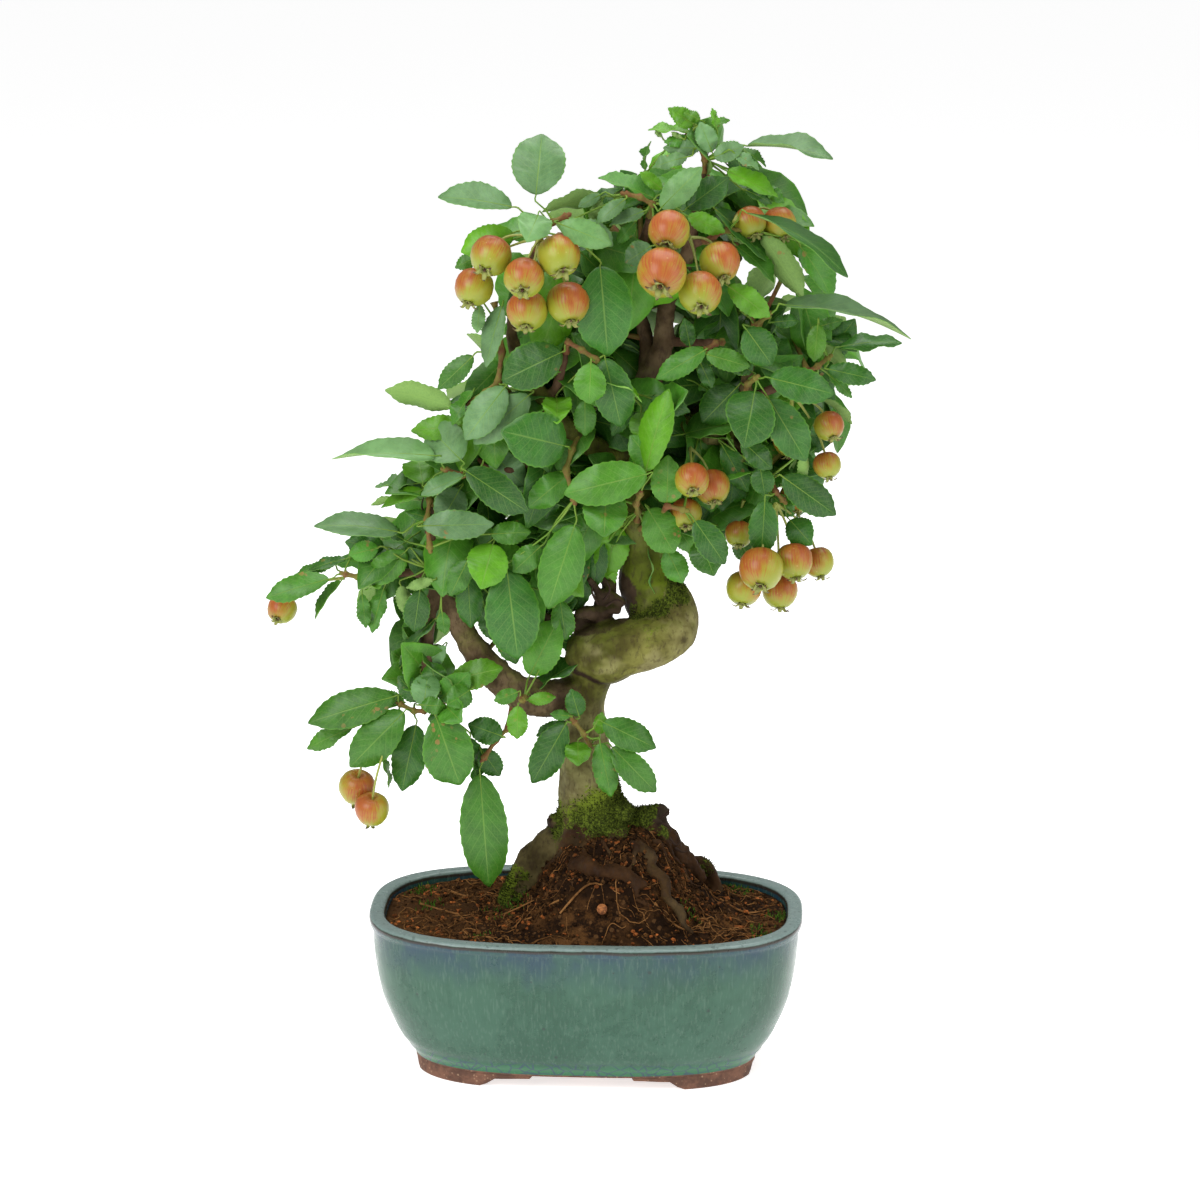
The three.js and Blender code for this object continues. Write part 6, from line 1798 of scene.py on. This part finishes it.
def crown_rows():
    """Every shoot as (name, stem, blades). A blade is (base, tip, width, normal, shade, spans)."""
    chance = random.Random(17)
    shoots = {}
    for name, (stem, rows) in SHOOTS.items():
        blades = []
        for row in rows:
            stem_behind = min(stem, key=lambda knot: math.hypot(knot[0] - row[0], knot[1] - row[1]))[2]
            blades.append((*place_blade(row, stem_behind), row[-1], BLADE_SPANS))
        shoots[name] = [([seen(*knot) for knot in stem], blades)]
    for name, (x, y, behind, count) in ROSETTES.items():
        stem = [seen(*LIMBS[name][-1][:3]), seen(x, y, behind)]
        blades = []
        for k in range(count):
            spread = ROSETTE_SPREAD[0] + (ROSETTE_SPREAD[1] - ROSETTE_SPREAD[0]) * k / (count - 1)
            around = Matrix.Rotation(k * GOLDEN_ANGLE, 3, -FORWARD) @ UP
            outward = -FORWARD * math.cos(spread) + around * math.sin(spread)
            base = stem[1] + outward * ROSETTE_PETIOLE * MM
            tip = base + (outward * ROSETTE_BLADE - UP * ROSETTE_DROOP) * MM
            blades.append((base, tip, ROSETTE_WIDTH, UP * 0.8 - FORWARD * 0.6, "G", BLADE_SPANS))
        shoots[name] = [(stem, blades)]
    for name, rows in CLUSTERS:
        hidden = -1 if name in ROSETTES else 1
        for x, y, behind, count, spread, shown in rows:
            head = seen(x, y, behind + INNER_DEPTH * (hidden > 0))
            start = chance.uniform(0, math.tau)
            tries = [
                inner_blade(head, hidden, start + k * GOLDEN_ANGLE, spread, shown, chance)
                for k in range(count * TRIES)
            ]
            blades = [blade for blade in tries if blade][:count]
            shoots[name].append(([nearest_wood(head), head], blades))
    return shoots


def leaf_paint(nodes, leaf):
    """A blade's face: clouded green, pale midrib and side veins, rust spots, a paler underside."""
    part, side, seed = nodes.split(nodes.attribute("blade_place", "Vector"))
    away = nodes.math("ABSOLUTE", side)
    below = nodes.attribute("underside")
    tint = nodes.attribute("leaf_tint", "Color")
    place = nodes.place()
    cloud = nodes.noise(place, 150.0, 4.0, 0.62)
    dim = nodes.mix(nodes.span(cloud, 0.3, 0.7), linear(216, 222, 210), linear(255, 255, 255))
    upper = nodes.mix(1.0, tint, dim, "MULTIPLY")
    lower = nodes.mix(0.62, tint, leaf.under)
    face = nodes.mix(below, upper, lower)
    row = nodes.minus(nodes.times(part, 9.0), nodes.times(away, 2.3))
    row = nodes.plus(row, nodes.times(nodes.math("SIGN", side), 0.22))
    gap = nodes.math("PINGPONG", row, 0.5)
    vein = nodes.times(nodes.span(gap, 0.075, 0.01), nodes.span(away, 1.0, 0.6))
    net = nodes.cracks(place, 560.0)
    net = nodes.times(nodes.span(net, 0.13, 0.02), nodes.span(below, 0.0, 1.0, 0.16, 0.5))
    rib = nodes.span(away, 0.05, 0.015)
    lines = nodes.math("MAXIMUM", nodes.times(vein, 0.42), net)
    lines = nodes.math("MAXIMUM", lines, nodes.times(rib, 0.62))
    face = nodes.mix(nodes.times(lines, 0.42), face, leaf.rib)
    edge = nodes.times(nodes.span(away, 0.9, 1.0), 0.35)
    face = nodes.mix(edge, face, leaf.young)
    spots = nodes.specked(place, 420.0, 0.75)
    patch = nodes.span(nodes.noise(place, 70.0), 0.55, 0.68)
    ailing = nodes.times(patch, nodes.math("GREATER_THAN", seed, HEALTHY))
    face = nodes.mix(nodes.times(nodes.times(spots, ailing), 0.75), face, leaf.rust)
    relief = nodes.minus(nodes.times(cloud, 0.7), nodes.times(lines, 0.8))
    return {
        "Base Color": face,
        "Roughness": nodes.span(below, 0.0, 1.0, 0.38, 0.72),
        "Normal": nodes.bump(relief, 0.4, 0.35),
    }


def joined(name, meshes):
    """One mesh of several, each with its own material slot."""
    shape = bmesh.new()
    done = 0
    for slot, mesh in enumerate(meshes):
        shape.from_mesh(mesh)
        shape.faces.ensure_lookup_table()
        for face in shape.faces[done:]:
            face.material_index = slot
        done = len(shape.faces)
        bpy.data.meshes.remove(mesh)
    return mesh_of(shape, name)


def blades_mesh(name, surfaces, thickness):
    """The closed blades of one shoot. Each surface is (place, spans, tint, seed)."""
    layer_kinds = ("float_color", "float_vector", "float")
    layer_names = ("leaf_tint", "blade_place", "underside")
    total = bmesh.new()
    held = bpy.data.meshes.new("batch")
    for start in range(0, len(surfaces), BATCH // 4):
        shape = bmesh.new()
        kinds = shape.verts.layers
        layers = [getattr(kinds, kind).new(label) for kind, label in zip(layer_kinds, layer_names)]
        for place, spans, tint, seed in surfaces[start : start + BATCH // 4]:
            add_blade(shape, layers, place, spans, tint, seed)
        shape.normal_update()
        lower = bmesh.ops.solidify(shape, geom=shape.faces[:], thickness=thickness)["geom"]
        for vert in lower:
            if isinstance(vert, bmesh.types.BMVert):
                vert[layers[2]] = 1
        shape.to_mesh(held)
        shape.free()
        total.from_mesh(held)
    bpy.data.meshes.remove(held)
    return mesh_of(total, name)


def stem_tube(stem):
    """A knobbly twig that swells at its nodes and ends in a bud."""
    end = stem[-1] + (stem[-1] - stem[-2]).normalized() * BUD_LENGTH * MM
    points, radii = [], []
    for here, there in zip(stem, [*stem[1:], end]):
        points += [here, here.lerp(there, 0.3), here.lerp(there, 0.7)]
        radii += [TWIG_RADIUS * NODE_SWELLING, TWIG_RADIUS * 0.8, TWIG_RADIUS * 0.85]
    return smooth_path([*points, end], [*radii, 0.35], 2)


def make_shoots(leaf):
    """One piece for each shoot, with its blades, its petioles and its twigs."""
    chance = random.Random(23)
    finishes = (
        finish("Leaf", leaf_paint, (leaf,), Specular_IOR_Level=0.38),
        finish("Petiole", stalk_paint, (leaf.stalk, leaf.plain), Roughness=0.5, Specular_IOR_Level=0.3),
        finish("Spur bark", stalk_paint, (leaf.spur, leaf.stalk), Roughness=0.7, Specular_IOR_Level=0.2),
    )
    for name, sprays in crown_rows().items():
        surfaces, stalks, stems = [], [], []
        for stem, blades in sprays:
            stems.append(stem_tube(stem))
            for base, tip, width, normal, shown, spans in blades:
                bows = SMALL_BOWS if spans == SMALL_SPANS else BLADE_BOWS
                place = blade_surface(base, tip, width, normal, leaf.fold, bows, chance)
                surfaces.append((place, spans, leaf_tint(leaf, shown, chance), chance.random()))
                stalks.append(stalk_tube(stem, place, base, tip, chance))
        mesh = joined("shoot_" + name, (
            blades_mesh(name, surfaces, leaf.thickness),
            tubes_mesh("petioles", stalks, 0),
            tubes_mesh("stems", stems, 1),
        ))
        make_piece("shoot_" + name, mesh, finishes, ("leafy_shoot_" + name,))


def stalk_paint(nodes, main, other):
    """Two colours clouded into each other along a stalk."""
    place = nodes.place()
    cloud = nodes.mottled(place, 55.0, main, other)
    clouded = nodes.mix(nodes.times(cloud["Share"], 0.45), main, other)
    return {"Base Color": clouded, "Normal": nodes.bump(nodes.noise(place, 800.0, 3.0), 0.3, 0.2)}


class BONSAI_OT_shoots(bpy.types.Operator):
    """Grow the leafy shoots"""

    bl_idname = "bonsai.shoots"
    bl_label = "Leafy shoots"

    def execute(self, context):
        make_shoots(context.scene.bonsai_leaf)
        return {"FINISHED"}


# ---- Crabapples ----
FRUIT_PROFILE = (  # from calyx to stalk end, (radius, height) as shares of the fruit's radius
    (0.0, -0.8), (0.14, -0.85), (0.3, -0.93), (0.5, -0.86), (0.76, -0.64), (0.94, -0.32), (1.0, 0.0),
    (0.97, 0.32), (0.83, 0.6), (0.6, 0.79), (0.36, 0.83), (0.16, 0.72), (0.0, 0.56),
)
FRUIT_SIDES = 20
FRUIT_LEAN = (0.7, 1.4)  # least and most that a calyx tips towards the front
HANGING_BACK = {"lower_left": (-0.75, -0.35)}  # the same for trusses that show their stalk ends
SUNNY_SIDE = (-0.2, 1.1)  # backward and upward parts of the way that a blush faces
SUNNY_FRONT = (-0.9, 0.6)  # the same where the stalk ends show
SUNNY_SPREAD = (0.6, 0.5)  # how far the blushes scatter sideways and backward
FRUIT_PULL = 0.5
STALK_RISE = 0.3
SEPALS = 5
SEPAL_THICKNESS = 0.25
# Shares of the fruit's radius.
RIB_DEPTH = 0.035
LUMP_DEPTH = 0.03
SEPAL_SPREAD = (0.55, 1.25)
SEPAL_DROP = (0.05, 0.2)
STAMEN_FOOT = 0.86
STAMENS = {"radius1": 0.05, "radius2": 0.12, "depth": 0.24}
STALK_RADII = (*[0.62] * 8, 0.7, 0.85, 1.1)
PLACED = 3.0  # added to a finished point's place, so that only new points have none


def fruit_axis(centre, spur, lean):
    """Unit vector from a fruit's calyx to its stalk."""
    return ((spur - centre).normalized() * FRUIT_PULL + UP - TO_VIEWER * lean).normalized()


def add_fruit(shape, layers, centre, axis, radius, blush, seed):
    """One crabapple, spun from its profile, with faint ribs towards the calyx."""
    blush_layer, place_layer = layers
    turned = axis.to_track_quat("Z", "Y").to_matrix()
    profile = [shape.verts.new((r, 0, z)) for r, z in FRUIT_PROFILE]
    edges = [shape.edges.new(pair) for pair in zip(profile, profile[1:])]
    bmesh.ops.spin(
        shape, geom=profile + edges, cent=(0, 0, 0), axis=(0, 0, 1), angle=math.tau,
        steps=FRUIT_SIDES, use_merge=True,
    )
    new = [vert for vert in shape.verts if vert[place_layer].length == 0]
    bmesh.ops.remove_doubles(shape, verts=new, dist=1e-5)
    for vert in shape.verts:
        if vert[place_layer].length > 0:
            continue
        spot = vert.co.copy()
        angle = math.atan2(spot.y, spot.x)
        ribs = 1 + RIB_DEPTH * math.cos(angle * SEPALS) * ease(0.1, -0.9, spot.z)
        ribs *= 1 + LUMP_DEPTH * noise.noise(spot * 1.4 + Vector((seed, 0, 0)))
        vert[place_layer] = (math.cos(angle) + PLACED, math.sin(angle) + PLACED, spot.z + PLACED)
        moved = turned @ Vector((spot.x * ribs, spot.y * ribs, spot.z))
        facing = moved.normalized() if moved.length > 0 else axis
        vert[blush_layer] = facing.dot(blush)
        vert.co = centre + moved * radius * MM


def add_calyx(shape, dryness, centre, axis, radius, chance):
    """The curled sepals round the dried stamens at the fruit's lower end."""
    turned = axis.to_track_quat("Z", "Y").to_matrix()
    for k in range(SEPALS):
        angle = k * math.tau / SEPALS + chance.uniform(-0.25, 0.25)
        outward = Vector((math.cos(angle), math.sin(angle), 0))
        across = Vector((-math.sin(angle), math.cos(angle), 0))
        spread = chance.uniform(*SEPAL_SPREAD)
        drop = chance.uniform(*SEPAL_DROP)
        twist = chance.uniform(-0.5, 0.5)
        for vert in bmesh.ops.create_grid(shape, x_segments=4, y_segments=1, size=0.5)["verts"]:
            part = vert.co.x + 0.5
            out = 0.1 + 0.4 * part * spread + 0.06 * abs(vert.co.y)
            low = -0.84 - drop * math.sin(part * 2.6) - 0.14 * ease(0, 0.5, part)
            wide = vert.co.y * (0.34 - 0.3 * part) + twist * part * part * 0.3
            vert[dryness] = part + chance.uniform(-0.25, 0.25)
            vert.co = centre + turned @ (outward * out + across * wide + UP * low) * radius * MM
    foot = Matrix.Translation(centre - axis * radius * STAMEN_FOOT * MM)
    sizes = {name: radius * part * MM for name, part in STAMENS.items()}
    stamens = bmesh.ops.create_cone(
        shape, cap_ends=True, segments=7, matrix=foot @ turned.to_4x4(), **sizes
    )["verts"]
    for vert in stamens:
        vert[dryness] = 1


def calyx_paint(nodes, fruit):
    """Green at a sepal's root, dried brown at its tip."""
    dry = nodes.attribute("dryness")
    uneven = nodes.minus(nodes.noise(nodes.place(), 700.0), 0.5)
    dry = nodes.span(nodes.plus(dry, uneven), 0.35, 0.95)
    return {"Base Color": nodes.mix(dry, fruit.sepal, linear(74, 46, 26))}


def fruit_stalk(centre, axis, radius, spur):
    """The curved stalk from the fruit's dimple to its spur."""
    start = centre + axis * radius * 0.5 * MM
    bend = centre + axis * (radius * MM + STALK_RISE * (spur - centre).length)
    points = []
    for k in range(len(STALK_RADII)):
        t = k / (len(STALK_RADII) - 1)
        points.append(start * (1 - t) ** 2 + bend * 2 * t * (1 - t) + spur * t * t)
    return points, STALK_RADII


def skin_paint(nodes, fruit):
    """Yellow-green skin, a streaked red blush on the side to the sun, and pale pores."""
    blush = nodes.attribute("blush")
    around = nodes.attribute("fruit_place", "Vector")
    height = nodes.minus(nodes.split(around)[2], PLACED)
    place = nodes.place()
    cloud = nodes.noise(place, 120.0, 3.0, 0.6)
    streaks = nodes.noise(nodes.stretched(around, (15.0, 15.0, 1.3)), 1.0, 4.0, 0.7)
    ground = nodes.mix(nodes.span(height, -0.25, -0.95), fruit.ground, fruit.pale)
    uneven = nodes.plus(nodes.times(nodes.minus(streaks, 0.5), 2.4), nodes.minus(cloud, 0.5))
    flush = nodes.span(nodes.plus(blush, uneven), -0.35, 1.0)
    face = nodes.mix(flush, ground, fruit.blush)
    deeper = nodes.times(nodes.span(streaks, 0.5, 0.64), nodes.span(flush, 0.45, 1.0))
    face = nodes.mix(nodes.times(deeper, 0.65), face, fruit.deep_blush)
    pores = nodes.specked(place, 520.0, 0.3)
    face = nodes.mix(nodes.times(pores, 0.25), face, linear(206, 182, 116))
    return {"Base Color": face, "Normal": nodes.bump(cloud, 0.06, 0.5)}


def make_crabapples(fruit):
    """One piece for each truss, with its fruits, their calyxes and their stalks."""
    chance = random.Random(41)
    skin = finish("Crabapple skin", skin_paint, (fruit,), Roughness=0.38, Coat_Weight=0.1,
                  Coat_Roughness=0.2, Specular_IOR_Level=0.35)
    dried = finish("Calyx", calyx_paint, (fruit,), Roughness=0.8)
    stalk = finish("Fruit stalk", stalk_paint, (fruit.stalk, fruit.pale), Roughness=0.5)
    for name, (origin, rows) in TRUSSES.items():
        spur = seen(*origin)
        bodies, calyxes, stalks = bmesh.new(), bmesh.new(), []
        dryness = calyxes.verts.layers.float.new("dryness")
        layers = (bodies.verts.layers.float.new("blush"),
                  bodies.verts.layers.float_vector.new("fruit_place"))
        for x, y, behind, squares in rows:
            centre = seen(x, y, behind)
            axis = fruit_axis(centre, spur, chance.uniform(*HANGING_BACK.get(name, FRUIT_LEAN)))
            radius = squares * SQUARE / 2
            backwards, upwards = SUNNY_FRONT if name in HANGING_BACK else SUNNY_SIDE
            aside, away = (chance.gauss(*pair) for pair in zip((0, backwards), SUNNY_SPREAD))
            sunny = Vector((aside, away, upwards)).normalized()
            add_fruit(bodies, layers, centre, axis, radius, sunny, chance.uniform(0, 60))
            add_calyx(calyxes, dryness, centre, axis, radius, chance)
            stalks.append(fruit_stalk(centre, axis, radius, spur))
        bmesh.ops.recalc_face_normals(bodies, faces=bodies.faces)
        strips = [face for face in calyxes.faces if any(edge.is_boundary for edge in face.edges)]
        calyxes.normal_update()
        bmesh.ops.solidify(calyxes, geom=strips, thickness=SEPAL_THICKNESS * MM)
        mesh = joined("crabapples_" + name, (
            mesh_of(bodies, "bodies"), mesh_of(calyxes, "calyxes"), tubes_mesh("stalks", stalks, 1),
        ))
        nodes = [f"apple_{name}_{k + 1}" for k in range(len(rows))]
        make_piece("crabapples_" + name, mesh, (skin, dried, stalk), nodes)


class BONSAI_OT_crabapples(bpy.types.Operator):
    """Hang the crabapples on their spurs"""

    bl_idname = "bonsai.crabapples"
    bl_label = "Crabapples"

    def execute(self, context):
        make_crabapples(context.scene.bonsai_fruit)
        return {"FINISHED"}


# ---- Stage ----
FLOOR_REACH = 60  # in m
LENS = 120
SENSOR = 36
LIGHTS = (  # setting, side, forward, height in m from the aim, size in m
    ("key", -0.75, 0.85, 0.75, 0.9),
    ("fill", 0.95, 0.55, 0.45, 0.9),
    ("crown", 0.1, -0.25, 1.15, 1.1),
)


def make_stage(stage):
    """A plain pale floor, a white dome, soft lights and the camera."""
    shape = bmesh.new()
    bmesh.ops.create_grid(shape, x_segments=1, y_segments=1, size=FLOOR_REACH)
    floor = bpy.data.objects.new("floor", mesh_of(shape, "floor"))
    bpy.context.scene.collection.objects.link(floor)
    glowing = {"Emission_Color": (1.0, 1.0, 1.0), "Emission_Strength": stage.glow}
    floor.data.materials.append(
        finish("Pale floor", Base_Color=stage.floor, Roughness=0.9, **glowing)
    )
    world = bpy.data.worlds.new("White dome")
    world.use_nodes = True
    dome = world.node_tree.nodes["Background"].inputs
    dome["Color"].default_value = (1, 1, 1, 1)
    dome["Strength"].default_value = stage.light
    bpy.context.scene.world = world
    for name, side, forward, height, size in LIGHTS:
        data = bpy.data.lights.new(name, "AREA")
        data.size = size
        data.energy = getattr(stage, name)
        light = bpy.data.objects.new(name, data)
        light.location = AIM + SIDEWAYS * side + FORWARD * forward + UP * height
        light.rotation_euler = (AIM - light.location).to_track_quat("-Z", "Y").to_euler()
        bpy.context.scene.collection.objects.link(light)
    lens = bpy.data.cameras.new("camera")
    lens.sensor_width = SENSOR
    lens.lens = LENS
    camera = bpy.data.objects.new("camera", lens)
    camera.location = AIM + TO_VIEWER * REACH * MM
    camera.rotation_euler = (-TO_VIEWER).to_track_quat("-Z", "Y").to_euler()
    bpy.context.scene.collection.objects.link(camera)
    bpy.context.scene.camera = camera
    bpy.context.scene.view_settings.view_transform = "Standard"


class BONSAI_OT_stage(bpy.types.Operator):
    """Set the floor, the lights and the camera"""

    bl_idname = "bonsai.stage"
    bl_label = "Stage"

    def execute(self, context):
        make_stage(context.scene.bonsai_stage)
        return {"FINISHED"}


# ---- Add-on ----
SETTINGS = {
    "bonsai_pot": PotSettings,
    "bonsai_soil": SoilSettings,
    "bonsai_wood": WoodSettings,
    "bonsai_leaf": LeafSettings,
    "bonsai_fruit": FruitSettings,
    "bonsai_stage": StageSettings,
}
OPERATORS = (
    BONSAI_OT_pot,
    BONSAI_OT_drain_meshes,
    BONSAI_OT_soil,
    BONSAI_OT_wood,
    BONSAI_OT_moss,
    BONSAI_OT_shoots,
    BONSAI_OT_crabapples,
    BONSAI_OT_stage,
)


class BONSAI_PT_panel(bpy.types.Panel):
    """Settings and building steps of the bonsai"""

    bl_label = "Bonsai"
    bl_space_type = "VIEW_3D"
    bl_region_type = "UI"
    bl_category = "Bonsai"

    def draw(self, context):
        for name, group in SETTINGS.items():
            box = self.layout.box()
            for setting in group.__annotations__:
                box.prop(getattr(context.scene, name), setting)
        for operator in OPERATORS:
            self.layout.operator(operator.bl_idname)


CLASSES = (*SETTINGS.values(), *OPERATORS, BONSAI_PT_panel)


def register():
    for item in CLASSES:
        bpy.utils.register_class(item)
    for name, group in SETTINGS.items():
        setattr(bpy.types.Scene, name, bpy.props.PointerProperty(type=group))


def unregister():
    for name in SETTINGS:
        delattr(bpy.types.Scene, name)
    for item in reversed(CLASSES):
        bpy.utils.unregister_class(item)


def main():
    """Builds every piece in order."""
    register()
    for operator in OPERATORS:
        getattr(bpy.ops.bonsai, operator.bl_idname.split(".")[1])()
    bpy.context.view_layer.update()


if __name__ == "__main__":
    main()
